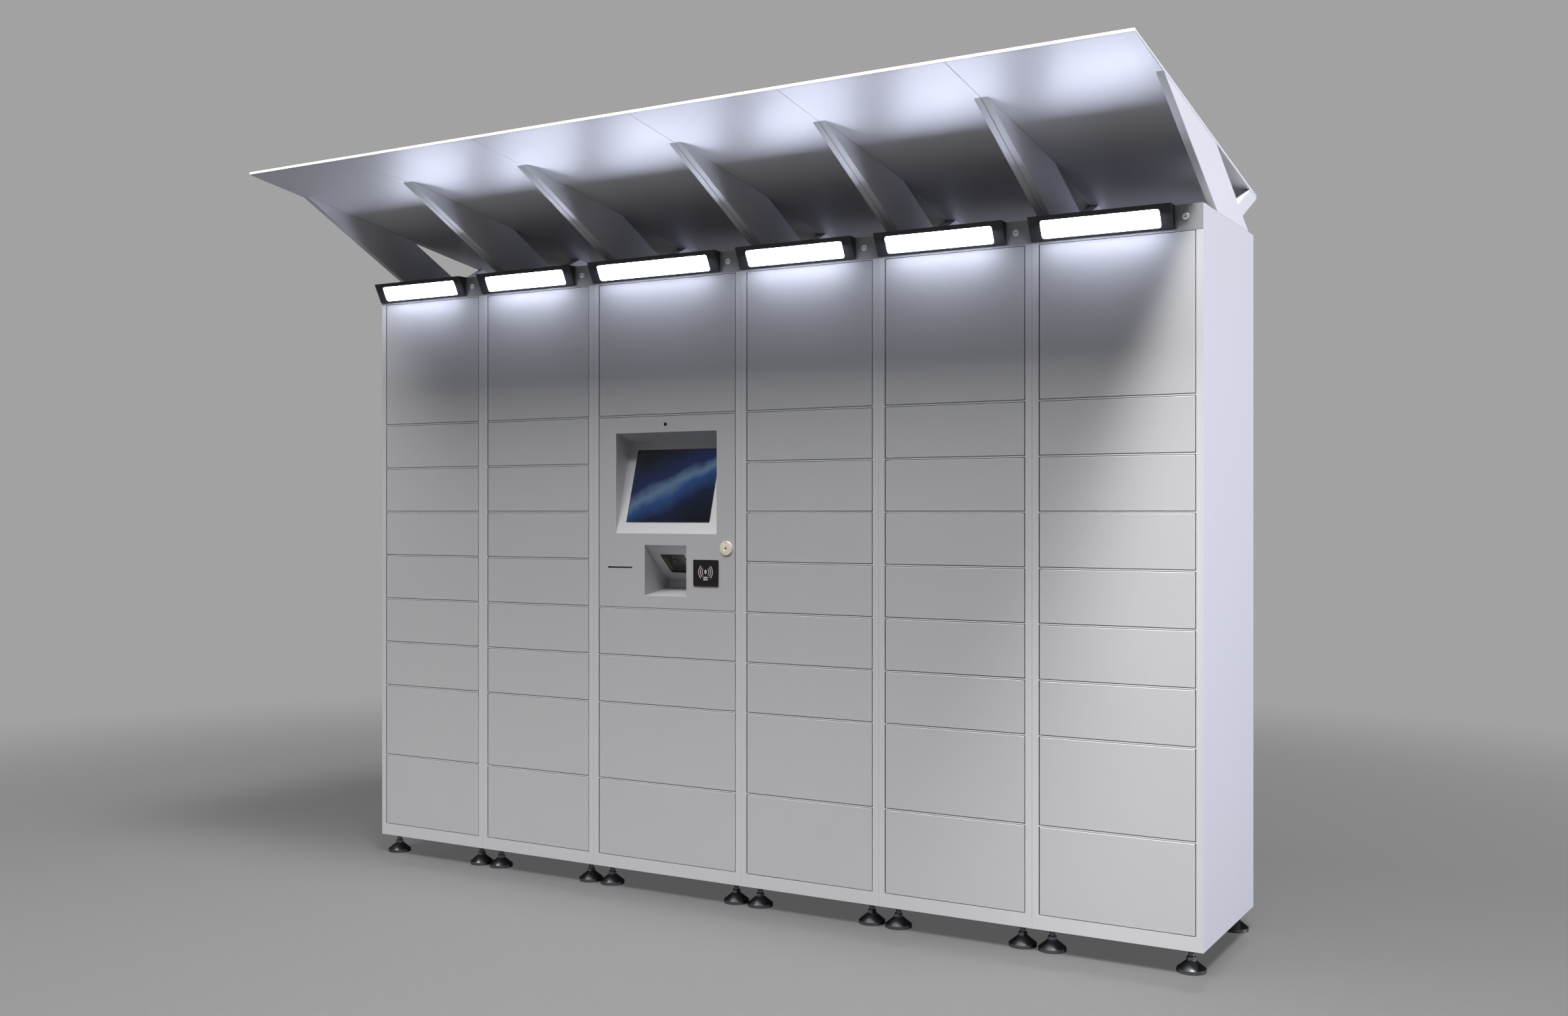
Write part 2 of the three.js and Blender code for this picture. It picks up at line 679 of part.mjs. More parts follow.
// A Y-shaped plate: a broad strut that leans forward to the roof, and an arm that grows
// from its rear edge back to the roof's rear edge.
function bracket(x) {
  const seat = TOP + SEAT;
  const footRear = CABINET_DEPTH - STRUT_REAR_SETBACK;
  const footFront = footRear - STRUT_FOOT_LENGTH;
  const strutRear = (y) => seat + STRUT_SLOPE * (footRear - y);
  const lowerRoot = footRear - ARM_ROOT_SETBACK;
  const upperRoot = lowerRoot - ARM_ROOT_LENGTH;
  const rear = ROOF_REAR - ARM_TIP_SETBACK;
  const tip = rear - ARM_TIP_RADIUS;
  const slopeAngle = Math.atan(ARM_SLOPE);
  const tipZ = strutRear(lowerRoot) + ARM_SLOPE * (tip - lowerRoot) + ARM_TIP_RADIUS / Math.cos(slopeAngle);

  const shape = new THREE.Shape();
  shape.moveTo(footFront, seat);
  shape.lineTo(footRear, seat);
  shape.lineTo(lowerRoot, strutRear(lowerRoot));
  shape.absarc(tip, tipZ, ARM_TIP_RADIUS, slopeAngle - Math.PI / 2, 0, false);
  shape.lineTo(rear, roofMiddle(rear));
  shape.lineTo(...meetsRoof(upperRoot, strutRear(upperRoot), ARM_SLOPE));
  shape.lineTo(upperRoot, strutRear(upperRoot));
  shape.lineTo(...meetsRoof(footRear, seat, -STRUT_SLOPE));
  shape.lineTo(...meetsRoof(footFront, seat, -STRUT_SLOPE));
  return bar(shape, x);
}

function canopy(columns) {
  const [left, right] = [-TOTAL_WIDTH / 2, TOTAL_WIDTH / 2];
  const roof = bar([
    [ROOF_FRONT, underside(ROOF_FRONT)],
    [ROOF_REAR, underside(ROOF_REAR)],
    [ROOF_REAR, underside(ROOF_REAR) + ROOF_THICKNESS],
    [ROOF_FRONT, underside(ROOF_FRONT) + ROOF_THICKNESS],
  ], [left, right]);
  const seams = columns.slice(1).map((column) => column.place + column.left);
  return join(
    roof,
    bracket([left, left + BRACKET_THICKNESS]),
    bracket([right - BRACKET_THICKNESS, right]),
    seams.map((seam) => bracket([seam - BRACKET_THICKNESS, seam + BRACKET_THICKNESS])),
  );
}

// ---------------------------------------------------------------- assembly

// a column's left, right and middle are its own, and its place is where its middle stands
function columnsOfCabinets() {
  let edge = -TOTAL_WIDTH / 2;
  return Array.from({ length: CABINET_COUNT }, (_, i) => {
    const hasControls = i + 1 === CONTROL_CABINET;
    const width = hasControls ? CONTROL_CABINET_WIDTH : CABINET_WIDTH;
    const place = edge + width / 2;
    edge += width;
    return {
      number: i + 1,
      place,
      left: -width / 2,
      right: width / 2,
      middle: 0,
      rows: rowsOf(hasControls),
    };
  });
}

const locker = new THREE.Group();
locker.position.y = FRONT_Y;

const columns = columnsOfCabinets();
for (const column of columns) {
  const stack = new THREE.Group();
  stack.position.x = column.place;
  locker.add(stack);
  add(stack, `cabinet_${column.number}`, cabinet(column), CABINET_STEEL);
  for (const row of column.rows) {
    if (row.kind === 'door') {
      add(stack, `door_${column.number}_${row.name}`, door(column, row), DOOR_STEEL);
    } else {
      add(stack, 'service_panel', servicePanel(column, row), DOOR_STEEL);
      add(stack, 'touch_screen', touchScreen(column, row), SCREEN_GLASS);
      add(stack, 'barcode_scanner', barcodeScanner(column, row), SCANNER_GLASS);
    }
  }
}
add(locker, 'canopy', canopy(columns), CANOPY_STEEL);

export default locker;
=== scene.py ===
"""Finishes and fittings for a bank of parcel lockers, built around its CAD frame.

Sizes are in metres. Each operator makes one group of pieces; main() runs them in order.
"""

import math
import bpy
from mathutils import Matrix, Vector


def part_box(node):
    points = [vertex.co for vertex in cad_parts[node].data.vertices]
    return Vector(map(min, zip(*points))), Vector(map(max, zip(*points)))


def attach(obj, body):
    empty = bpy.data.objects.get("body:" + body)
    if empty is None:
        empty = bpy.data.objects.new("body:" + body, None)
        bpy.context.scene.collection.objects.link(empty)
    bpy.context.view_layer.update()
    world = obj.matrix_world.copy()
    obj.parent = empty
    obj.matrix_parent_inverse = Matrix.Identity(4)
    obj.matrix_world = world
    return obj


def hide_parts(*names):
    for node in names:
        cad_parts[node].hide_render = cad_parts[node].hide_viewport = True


bl_info = {
    "name": "Parcel locker bank",
    "version": (1, 0, 0),
    "blender": (4, 5, 0),
    "location": "3D View > Sidebar > Parcel locker",
    "description": "Makes the visible pieces and finishes of a bank of parcel lockers",
    "category": "Object",
}

import bmesh
import bpy
from mathutils import Vector

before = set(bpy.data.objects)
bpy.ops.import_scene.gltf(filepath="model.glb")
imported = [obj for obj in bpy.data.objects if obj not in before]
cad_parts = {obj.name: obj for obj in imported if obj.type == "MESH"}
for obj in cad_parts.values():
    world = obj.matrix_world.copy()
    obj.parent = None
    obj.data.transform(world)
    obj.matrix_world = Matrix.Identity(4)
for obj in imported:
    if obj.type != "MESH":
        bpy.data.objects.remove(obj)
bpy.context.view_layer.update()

MM = 0.001
ROOT = "cabinets"
PANEL = "service_panel"
PANEL_CABINET = "cabinet_3"
CABINETS = sorted(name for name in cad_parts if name.startswith("cabinet_"))
DOORS = sorted(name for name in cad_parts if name.startswith("door_"))
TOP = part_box(CABINETS[0])[1].z
FOOT_HEIGHT = 62 * MM
SIDE_GAP = 2.5 * MM  # from a door's edge to the post beside it
LIP_HALF = 1.75 * MM  # half the height of the frame's lip between two doors
HALF_SEAM = 0.25 * MM  # half the gap between two cabinets


# ------------------------------------------------------------------ sizes and colours


def length(name, description, default, digits=4):
    return bpy.props.FloatProperty(
        name=name, description=description, default=default, unit="LENGTH", precision=digits
    )


def linear(code):
    """An sRGB hex code as linear red, green, blue and alpha."""
    parts = [int(code[i : i + 2], 16) / 255 for i in (1, 3, 5)]
    return [c / 12.92 if c <= 0.04045 else ((c + 0.055) / 1.055) ** 2.4 for c in parts] + [1.0]


def colour(name, description, code):
    return bpy.props.FloatVectorProperty(
        name=name, description=description, subtype="COLOR", size=4, min=0, max=1, default=linear(code)
    )


class LockerSizes(bpy.types.PropertyGroup):
    """Sizes of the sheet metal and of the fittings."""

    sheet: length("Sheet", "Thickness of the door sheet", 1.5 * MM)
    bend: length("Bend", "Outside radius of a folded edge", 1.0 * MM)
    door_depth: length("Door depth", "Depth of a door's flanges", 18 * MM)
    lens_width_inset: length("Lens end inset", "From the housing's end to the lens", 32 * MM)
    light_height: length("Light height", "Height of the light housing", 60 * MM)
    light_reach_top: length("Light reach", "How far the housing leans out at its top", 36 * MM)
    light_reach_bottom: length("Light foot", "How far the housing stands out at its bottom", 5 * MM)
    light_end_margin: length("Light end margin", "From the housing to the cabinet's right side", 74 * MM)
    lens_top: length("Lens top", "From the cabinet's top down to the lens", 12 * MM)
    lens_bottom: length("Lens bottom", "From the cabinet's top down to the lens's lower edge", 56 * MM)
    lens_corner: length("Lens corner", "Corner radius of the lens", 7 * MM)
    cam_lock_radius: length("Cam lock", "Radius of a header's cam lock", 9 * MM)
    cam_lock_inset: length("Cam lock inset", "From the cabinet's right side", 45 * MM)
    cam_lock_drop: length("Cam lock drop", "Below the cabinet's top", 32 * MM)
    foot_radius: length("Foot", "Radius of a levelling foot's base", 37.9 * MM)
    foot_inset: length("Foot inset", "From the cabinet's edges to a foot's middle", 42 * MM)
    stem_radius: length("Stem", "Radius of a levelling foot's threaded stem", 7.3 * MM)
    thread_pitch: length("Thread pitch", "Rise of the stem's thread for each turn", 2.0 * MM)
    pin_radius: length("Hinge pin", "Radius of a door's hinge pin", 2.5 * MM)
    pivot_inset: length("Pivot inset", "From a door's left edge to its pivot", 5 * MM)
    pivot_depth: length("Pivot depth", "From a door's face to its pivot", 4.5 * MM)
    roof_thickness: length("Roof thickness", "Thickness of the canopy's roof", 8 * MM)
    roof_front_rise: length("Roof front rise", "From the cabinets to the roof's underside in front", 278 * MM)
    roof_rear_rise: length("Roof rear rise", "From the cabinets to the roof's underside behind", 112 * MM)
    roof_seam: length("Roof seam", "Gap between two roof sheets", 0.8 * MM)
    bracket_thickness: length("Bracket", "Thickness of one canopy bracket plate", 19 * MM)
    strut_rear: length("Strut rear", "Rear end of a bracket's foot, behind the doors", 479 * MM)
    strut_length: length("Strut length", "Length of a bracket's foot", 340 * MM)
    arm_root: length("Arm root", "From the strut's rear end to the arm's lower root", 67 * MM)
    arm_width: length("Arm width", "Length of the arm's root", 52 * MM)
    arm_tip_radius: length("Arm tip", "Radius of the arm's rear tip", 10 * MM)
    screen_recess_drop: length("Screen drop", "From the panel's top to the screen recess", 49.6 * MM)
    screen_recess_height: length("Screen recess", "Height of the screen recess's mouth", 313.7 * MM)
    glass_width: length("Glass width", "Width of the touch screen", 309 * MM)
    glass_height: length("Glass height", "Height of the touch screen", 235 * MM)
    glass_rise: length("Glass rise", "From the recess's lower edge to the glass", 37 * MM)
    scanner_rise: length("Scanner rise", "From the panel's bottom to the scanner recess", 37.6 * MM)
    scanner_recess_height: length("Scanner recess", "Height of the scanner recess's mouth", 157 * MM)
    scanner_plate_depth: length("Scanner plate depth", "How far back the scanner's plate reaches", 136 * MM)
    scanner_plate_drop: length("Scanner plate drop", "How far down the scanner's plate reaches", 118 * MM)
    scanner_window: length("Scanner window", "Side of the scanner's window", 89 * MM)
    reader_width: length("Reader width", "Width of the card reader", 90 * MM)
    reader_height: length("Reader height", "Height of the card reader", 80 * MM)
    reader_inset: length("Reader inset", "From the panel's right edge to the reader", 58.5 * MM)
    reader_rise: length("Reader rise", "From the panel's bottom to the reader's middle", 111.6 * MM)
    lock_radius: length("Service lock", "Radius of the service lock's disc", 21.3 * MM)
    lock_inset: length("Service lock inset", "From the panel's right edge", 30.5 * MM)
    lock_rise: length("Service lock rise", "From the panel's bottom", 187.6 * MM)
    camera_drop: length("Camera drop", "From the panel's top", 25.6 * MM)
    slot_width: length("Receipt slot", "Width of the receipt slot", 92 * MM)
    slot_inset: length("Receipt slot inset", "From the panel's left edge", 35.1 * MM)
    slot_rise: length("Receipt slot rise", "From the panel's bottom", 123.6 * MM)
    screen_tilt: bpy.props.FloatProperty(
        name="Screen tilt", description="Lean of the screen", default=math.radians(15.9), subtype="ANGLE"
    )
    strut_slope: bpy.props.FloatProperty(
        name="Strut slope", description="Rise of a strut per length", default=0.5
    )
    arm_slope: bpy.props.FloatProperty(
        name="Arm slope", description="Rise of an arm per length", default=0.47
    )


class LockerColours(bpy.types.PropertyGroup):
    """Base colours of the finishes."""

    door: colour("Door steel", "Brushed stainless steel of the doors", "#c6c6c8")
    carcass: colour("Carcass steel", "Satin stainless steel of the cabinets", "#cfcfd2")
    canopy: colour("Canopy paint", "Metallic enamel of the canopy", "#d2d2d5")
    # Painted shade: the housings are steel, coloured charcoal for the deep shade that the roof casts on them.
    housing: colour("Housing enamel", "Charcoal enamel of the light housings", "#3c3c40")
    lens: colour("Lens", "Opal acrylic of the lights", "#e4e9ff")
    chrome: colour("Chrome", "Chromed steel of the feet, pins and latches", "#7e7f82")
    zinc: colour("Zinc", "Plated face of the cam locks", "#ececee")
    # Painted shade: the header strip is the cabinets' steel, coloured darker for the shade under the roof.
    header: colour("Header steel", "Darker steel strip behind the lights", "#98999b")
    lock: colour("Lock nickel", "Warm nickel of the service lock", "#efe2cd")
    rubber: colour("Rubber", "Black rubber of gaskets", "#151515")
    reader: colour("Reader plastic", "Moulded plastic of the reader", "#151011")
    print_ink: colour("Print", "Pad print on the reader", "#b9b4b2")
    scanner: colour("Scanner glass", "Smoked acrylic of the scanner", "#14160f")
    scanner_side: colour("Scanner sides", "Olive acrylic of the scanner", "#4b4f14")
    floor: colour("Floor", "Plain studio floor", "#4a4a4a")
    background: colour("Background", "Studio background", "#a2a2a2")


class LockerStage(bpy.types.PropertyGroup):
    """Where the camera stands and how it looks."""

    lens: bpy.props.FloatProperty(name="Focal length", description="On a 36 mm sensor", default=34.88)
    place: bpy.props.FloatVectorProperty(
        name="Camera place", description="Where the camera stands", subtype="XYZ", unit="LENGTH",
        default=(2.4457, -3.8632, 1.183),
    )
    turn: bpy.props.FloatProperty(
        name="Camera turn", description="Turn to the left of the +Y axis", subtype="ANGLE",
        default=math.radians(30.24),
    )
    shift: bpy.props.FloatProperty(name="Vertical shift", description="Of the picture", default=0.0022)


def sizes():
    return bpy.context.scene.locker_sizes


def colours():
    return bpy.context.scene.locker_colours


def number_of(name):
    """The cabinet's number in the name of a cabinet or of one of its doors."""
    return name.split("_")[1]


# ------------------------------------------------------------------ materials


def add(tree, kind, feeds=None, **settings):
    """One node, with its settings, and each input fed by another node's socket or a value."""
    node = tree.nodes.new(kind)
    for name, value in settings.items():
        setattr(node, name, value)
    for name, source in (feeds or {}).items():
        if isinstance(source, bpy.types.NodeSocket):
            tree.links.new(source, node.inputs[name])
        else:
            node.inputs[name].default_value = source
    return node


def finish(name, base, roughness, metallic=0.0, pattern=None, **shader):
    """A material with its base colour, gloss and an optional pattern in the base and the bump."""
    found = bpy.data.materials.get(name)
    if found:
        return found
    material = bpy.data.materials.new(name)
    material.use_nodes = True
    tree = material.node_tree
    tree.nodes.clear()
    feeds = {"Base Color": base, "Roughness": roughness, "Metallic": metallic}
    if pattern:
        feeds.update(pattern(tree, base, roughness))
    feeds.update(shader)
    principled = add(tree, "ShaderNodeBsdfPrincipled", feeds)
    add(tree, "ShaderNodeOutputMaterial", {"Surface": principled.outputs["BSDF"]})
    return material


def streaks(across, along, strength, spread, stain=0.0):
    """Fine lines along X, as abrasive belts leave them, lighter and darker by turns.

    across and along are the width and length of a line in metres, strength is the bump's
    height, spread is how much the roughness varies, and stain is how much darker a line gets.
    """

    def pattern(tree, base, roughness):
        place = add(tree, "ShaderNodeTexCoord").outputs["Object"]
        scale = (1 / along, 1 / across, 1 / across)
        lines = add(tree, "ShaderNodeMapping", {"Vector": place, "Scale": scale})
        grain = add(
            tree, "ShaderNodeTexNoise",
            {"Vector": lines.outputs[0], "Scale": 1.0, "Detail": 3.0, "Roughness": 0.6},
        )
        cloud = add(tree, "ShaderNodeTexNoise", {"Vector": place, "Scale": 2.2, "Detail": 4.0})
        gloss = add(
            tree, "ShaderNodeMapRange",
            {"Value": grain.outputs["Fac"], "From Min": 0.25, "From Max": 0.75,
             "To Min": roughness - spread, "To Max": roughness + spread},
        )
        dark = [c * (1 - stain) for c in base[:3]] + [1.0]
        speckle = add(
            tree, "ShaderNodeMapRange", {"Value": grain.outputs["Fac"], "From Min": 0.3, "From Max": 0.7}
        )
        share = add(tree, "ShaderNodeMix", {0: 0.3, 2: speckle.outputs[0], 3: cloud.outputs["Fac"]})
        tone = add(
            tree, "ShaderNodeMixRGB", {"Fac": share.outputs[0], "Color1": dark, "Color2": base}
        )
        bump = add(
            tree, "ShaderNodeBump",
            {"Height": grain.outputs["Fac"], "Strength": 1.0, "Distance": strength},
        )
        return {"Base Color": tone.outputs[0], "Roughness": gloss.outputs[0], "Normal": bump.outputs[0]}

    return pattern


def peel(cell, height, spread=0.05):
    """The soft pebble of a sprayed or moulded skin. cell is a pebble's width in metres."""

    def pattern(tree, base, roughness):
        place = add(tree, "ShaderNodeTexCoord").outputs["Object"]
        pebbles = add(tree, "ShaderNodeTexNoise", {"Vector": place, "Scale": 1 / cell, "Detail": 2.0})
        slow = add(tree, "ShaderNodeTexNoise", {"Vector": place, "Scale": 3.0, "Detail": 3.0})
        gloss = add(
            tree, "ShaderNodeMapRange",
            {"Value": slow.outputs["Fac"], "To Min": roughness - spread, "To Max": roughness + spread},
        )
        bump = add(
            tree, "ShaderNodeBump",
            {"Height": pebbles.outputs["Fac"], "Strength": 0.6, "Distance": height},
        )
        return {"Roughness": gloss.outputs[0], "Normal": bump.outputs[0]}

    return pattern


def fading(near, far, density):
    """Thins out with the distance from the middle, so that the floor has no edge."""

    def pattern(tree, base, roughness):
        place = add(tree, "ShaderNodeTexCoord").outputs["Object"]
        reach = add(tree, "ShaderNodeVectorMath", {0: place}, operation="LENGTH").outputs["Value"]
        return {"Alpha": add(
            tree, "ShaderNodeMapRange",
            {"Value": reach, "From Min": near, "From Max": far, "To Min": density, "To Max": 0.0},
            interpolation_type="SMOOTHSTEP",
        ).outputs[0]}

    return pattern


def door_steel():
    # Stainless steel ground with a fine belt: short level scratches that blur what it mirrors.
    # The real scratches are about 0.05 mm wide; they are drawn at 1 mm so that they show.
    return finish("brushed_stainless_steel", colours().door, 0.5, 0.45,
                  streaks(1.0 * MM, 4 * MM, 0.05 * MM, 0.06, 0.16))


def carcass_steel():
    # The same steel with a finer grind, so it looks smoother and a little paler. Its scratches
    # are drawn coarser than the real ones too.
    return finish("satin_stainless_steel", colours().carcass, 0.5, 0.45,
                  streaks(0.8 * MM, 5 * MM, 0.02 * MM, 0.04, 0.08))


def canopy_enamel():
    # Metallic enamel sprayed on folded steel: an even pale sheen with a faint orange peel.
    return finish("sprayed_metallic_enamel", colours().canopy, 0.45, 0.3, peel(2.5 * MM, 0.04 * MM))


def housing_painted_shade():
    # Painted shade: the housings are the cabinets' steel, coloured charcoal for the deep shade under the
    # roof. Matt, with a fine pebble.
    return finish("charcoal_painted_shade", colours().housing, 0.5, 0.3, peel(1.2 * MM, 0.05 * MM))


def opal_lens():
    # Opal acrylic over a row of lamps: an even white glow with no visible source.
    return finish("opal_acrylic_lit", colours().lens, 0.35, 0.0, None,
                  **{"Emission Color": colours().lens, "Emission Strength": 48.0})


def chrome():
    # Chrome plate on turned steel, toned down to the grey that it shows in the cabinets' shade.
    return finish("turned_chrome", colours().chrome, 0.18, 1.0, streaks(0.8 * MM, 0.8 * MM, 0.01 * MM, 0.05))


def zinc_plate():
    # Bright zinc plate on a die-cast lock face: paler and smoother than the steel around it.
    return finish("zinc_plated_lock", colours().zinc, 0.35, 0.5, streaks(0.5 * MM, 2 * MM, 0.01 * MM, 0.04))


def header_painted_shade():
    # The cabinets' satin steel, painted darker as the shade that the roof casts on the strip behind the
    # lights.
    return finish("satin_steel_painted_shade", colours().header, 0.5, 0.4,
                  streaks(0.8 * MM, 5 * MM, 0.02 * MM, 0.04, 0.08))


def lock_nickel():
    # Satin nickel on a pressed disc: warmer than the steel around it.
    return finish("satin_nickel", colours().lock, 0.4, 0.35, streaks(0.5 * MM, 3 * MM, 0.01 * MM, 0.05))


def rubber():
    # Moulded black rubber: dull, with a fine skin.
    return finish("moulded_rubber", colours().rubber, 0.7, 0.0, peel(1.0 * MM, 0.05 * MM))


def reader_plastic():
    # Injection-moulded plastic with a fine spark texture.
    return finish("spark_textured_abs", colours().reader, 0.38, 0.0, peel(0.8 * MM, 0.03 * MM))


def pad_print():
    # Thin silk-screened ink, a little duller than the plastic under it.
    return finish("pad_print", colours().print_ink, 0.55, 0.0, peel(1.5 * MM, 0.01 * MM))


def smoked_acrylic():
    # Smoked acrylic: nearly black and glossy.
    return finish("smoked_acrylic", colours().scanner, 0.12, 0.0, peel(6 * MM, 0.01 * MM), IOR=1.49)


def olive_acrylic():
    # Tinted acrylic at the sides of the scanning engine, with light coming through it.
    return finish("olive_acrylic", colours().scanner_side, 0.2, 0.0, peel(5 * MM, 0.02 * MM), IOR=1.49)


def display_glass():
    """Toughened glass over a lit display: deep blue with one soft band of light across it."""
    name = "lit_display_glass"
    slant = math.radians(24)
    ripple = 0.09
    band_foot, band_head = -0.09, 0.17
    stops = [
        (0.0, "#0a0b12"), (0.3, "#101c3c"), (0.46, "#2a4a80"),
        (0.54, "#5f7896"), (0.66, "#1c2a52"), (1.0, "#15161c"),
    ]
    found = bpy.data.materials.get(name)
    if found:
        return found
    material = bpy.data.materials.new(name)
    material.use_nodes = True
    tree = material.node_tree
    tree.nodes.clear()
    middle = (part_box("touch_screen")[0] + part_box("touch_screen")[1]) / 2
    place = add(tree, "ShaderNodeTexCoord").outputs["Object"]
    centred = add(
        tree, "ShaderNodeMapping",
        {"Vector": place, "Location": (-middle.x, 0, -middle.z), "Scale": (1, 0, 1)}, vector_type="POINT",
    )
    leaning = add(tree, "ShaderNodeMapping", {"Vector": centred.outputs[0], "Rotation": (0, slant, 0)})
    warp = add(tree, "ShaderNodeTexNoise", {"Vector": leaning.outputs[0], "Scale": 7.0, "Detail": 3.0})
    height = add(tree, "ShaderNodeSeparateXYZ", {"Vector": leaning.outputs[0]}).outputs["Z"]
    bend = add(tree, "ShaderNodeMath", {0: warp.outputs["Fac"], 1: ripple}, operation="MULTIPLY")
    offset = add(tree, "ShaderNodeMath", {0: height, 1: bend.outputs[0]}, operation="ADD")
    ramp = add(
        tree, "ShaderNodeMapRange",
        {"Value": offset.outputs[0], "From Min": band_foot, "From Max": band_head},
    )
    band = add(tree, "ShaderNodeValToRGB", {"Fac": ramp.outputs[0]})
    while len(band.color_ramp.elements) < len(stops):
        band.color_ramp.elements.new(0.5)
    for element, (position, code) in zip(band.color_ramp.elements, stops):
        element.position = position
        element.color = linear(code)
    principled = add(
        tree, "ShaderNodeBsdfPrincipled",
        {"Base Color": linear("#08090c"), "Roughness": 0.08, "Emission Color": band.outputs["Color"],
         "Emission Strength": 0.6, "IOR": 1.52},
    )
    add(tree, "ShaderNodeOutputMaterial", {"Surface": principled.outputs["BSDF"]})
    return material


# ------------------------------------------------------------------ mesh building


def front(x, z, y=0.0):
    """A vertical plane that faces the user: u to the right, v up, d back into the cabinet."""
    return lambda u, v, d: (x + u, y + d, z + v)


def rear(x, z, y):
    """A vertical plane that faces backwards: u to the right, v up, d forwards into the cabinet."""
    return lambda u, v, d: (x + u, y - d, z + v)


def edgewise(x, z):
    """A vertical plane that faces right: u back into the cabinet, v up, d to the left."""
    return lambda u, v, d: (x - d, u, z + v)


def level(x, y, z):
    """A level plane: u to the right, v back, d up."""
    return lambda u, v, d: (x + u, y + v, z + d)


def sloping(x, y, z, up):
    """A plane that leans: u to the right, v along up, given as its y and z, d behind it."""
    steep = math.hypot(*up)
    uy, uz = up[0] / steep, up[1] / steep
    return lambda u, v, d: (x + u, y + v * uy + d * uz, z + v * uz - d * uy)


def rounded(u0, u1, v0, v1, radius, inset=0.0, steps=4):
    """A rectangle with round corners, drawn inset from its edges."""
    least_radius = 0.02 * MM
    r = max(radius - inset, least_radius)
    u0, u1, v0, v1 = u0 + inset, u1 - inset, v0 + inset, v1 - inset
    corners = [(u1 - r, v1 - r, 0), (u0 + r, v1 - r, 90), (u0 + r, v0 + r, 180), (u1 - r, v0 + r, 270)]
    points = []
    for u, v, start in corners:
        for i in range(steps + 1):
            angle = math.radians(start + 90 * i / steps)
            points.append((u + r * math.cos(angle), v + r * math.sin(angle)))
    return points


def circle(radius, segments):
    turn = math.tau / segments
    return [(radius * math.cos(i * turn), radius * math.sin(i * turn)) for i in range(segments)]


def loft(bm, rings, closed=False):
    """Joins rings of points with quads and caps the two ends, or joins the last to the first."""
    rows = [[bm.verts.new(point) for point in ring] for ring in rings]
    faces = []
    pairs = list(zip(rows, rows[1:])) + ([(rows[-1], rows[0])] if closed else [])
    for a, b in pairs:
        for i in range(len(a)):
            j = (i + 1) % len(a)
            faces.append(bm.faces.new((a[i], a[j], b[j], b[i])))
    if not closed:
        faces.append(bm.faces.new(rows[0]))
        faces.append(bm.faces.new(rows[-1]))
    bmesh.ops.recalc_face_normals(bm, faces=faces)


def slab(bm, at, u, v, d, corner=1 * MM, edge=0.4 * MM, steps=4):
    """A plate from d[0] back to d[1] with round corners and a small round on both edges."""
    rolls = 3
    path = []
    for i in range(rolls + 1):
        angle = math.pi / 2 * i / rolls
        path.append((edge * (1 - math.sin(angle)), d[0] + edge * (1 - math.cos(angle))))
    path += [(inset, d[0] + d[1] - depth) for inset, depth in reversed(path)]
    loft(bm, [[at(a, b, depth) for a, b in rounded(*u, *v, corner, inset, steps)] for inset, depth in path])


def turned(bm, at, profile, segments=32):
    """A round piece from (radius, depth) pairs, first to last."""
    least_radius = 0.05 * MM
    loft(bm, [[at(a, b, depth) for a, b in circle(max(radius, least_radius), segments)]
              for radius, depth in profile])


def soften(mesh, sharpest=math.radians(35)):
    """Smooth shading across shallow edges, in which large faces keep their own direction."""
    limit = math.cos(sharpest)
    around = {}
    for face in mesh.polygons:
        for vertex in face.vertices:
            around.setdefault(vertex, []).append((face.normal.copy(), face.area))
    normals = []
    for face in mesh.polygons:
        for vertex in face.vertices:
            near = [normal * area for normal, area in around[vertex] if normal.dot(face.normal) > limit]
            normals.append(sum(near, Vector()).normalized())
    mesh.polygons.foreach_set("use_smooth", [True] * len(mesh.polygons))
    mesh.normals_split_custom_set(normals)


def piece(name, bm, material, body, replaces=None):
    """Turns a bmesh into an object that rides on a body."""
    mesh = bpy.data.meshes.new(name)
    bm.to_mesh(mesh)
    bm.free()
    return settle(name, mesh, material, body, replaces)


def settle(name, mesh, material, body, replaces=None):
    """Turns a mesh into an object that rides on a body. Without a material it keeps its own."""
    if material:
        mesh.materials.clear()
        mesh.materials.append(material)
    soften(mesh)
    thing = bpy.data.objects.new(name, mesh)
    bpy.context.scene.collection.objects.link(thing)
    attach(thing, body)
    if replaces:
        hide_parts(*replaces)
    return thing


def dress(node, material):
    """Gives a CAD node its finish."""
    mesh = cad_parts[node].data
    mesh.materials.clear()
    mesh.materials.append(material)


# ------------------------------------------------------------------ geometry nodes


def open_tree(name, inputs):
    """A Geometry Nodes tree with a geometry input, a geometry output and named number inputs."""
    tree = bpy.data.node_groups.new(name, "GeometryNodeTree")
    tree.interface.new_socket("Geometry", in_out="INPUT", socket_type="NodeSocketGeometry")
    for label, default in inputs.items():
        kind = "NodeSocketInt" if isinstance(default, int) else "NodeSocketFloat"
        tree.interface.new_socket(label, in_out="INPUT", socket_type=kind).default_value = default
    tree.interface.new_socket("Geometry", in_out="OUTPUT", socket_type="NodeSocketGeometry")
    return tree, add(tree, "NodeGroupInput").outputs


def close_tree(tree, points, shape, material):
    """Puts the shape at each point, makes the copies real and gives them their finish."""
    copies = add(tree, "GeometryNodeInstanceOnPoints", {"Points": points, "Instance": shape})
    real = add(tree, "GeometryNodeRealizeInstances", {"Geometry": copies.outputs["Instances"]})
    coated = add(tree, "GeometryNodeSetMaterial", {"Geometry": real.outputs[0], "Material": material})
    add(tree, "NodeGroupOutput", {"Geometry": coated.outputs[0]})
    return tree


def joined(tree, *shapes):
    bundle = add(tree, "GeometryNodeJoinGeometry")
    for shape in shapes:
        tree.links.new(shape, bundle.inputs[0])
    return bundle.outputs[0]


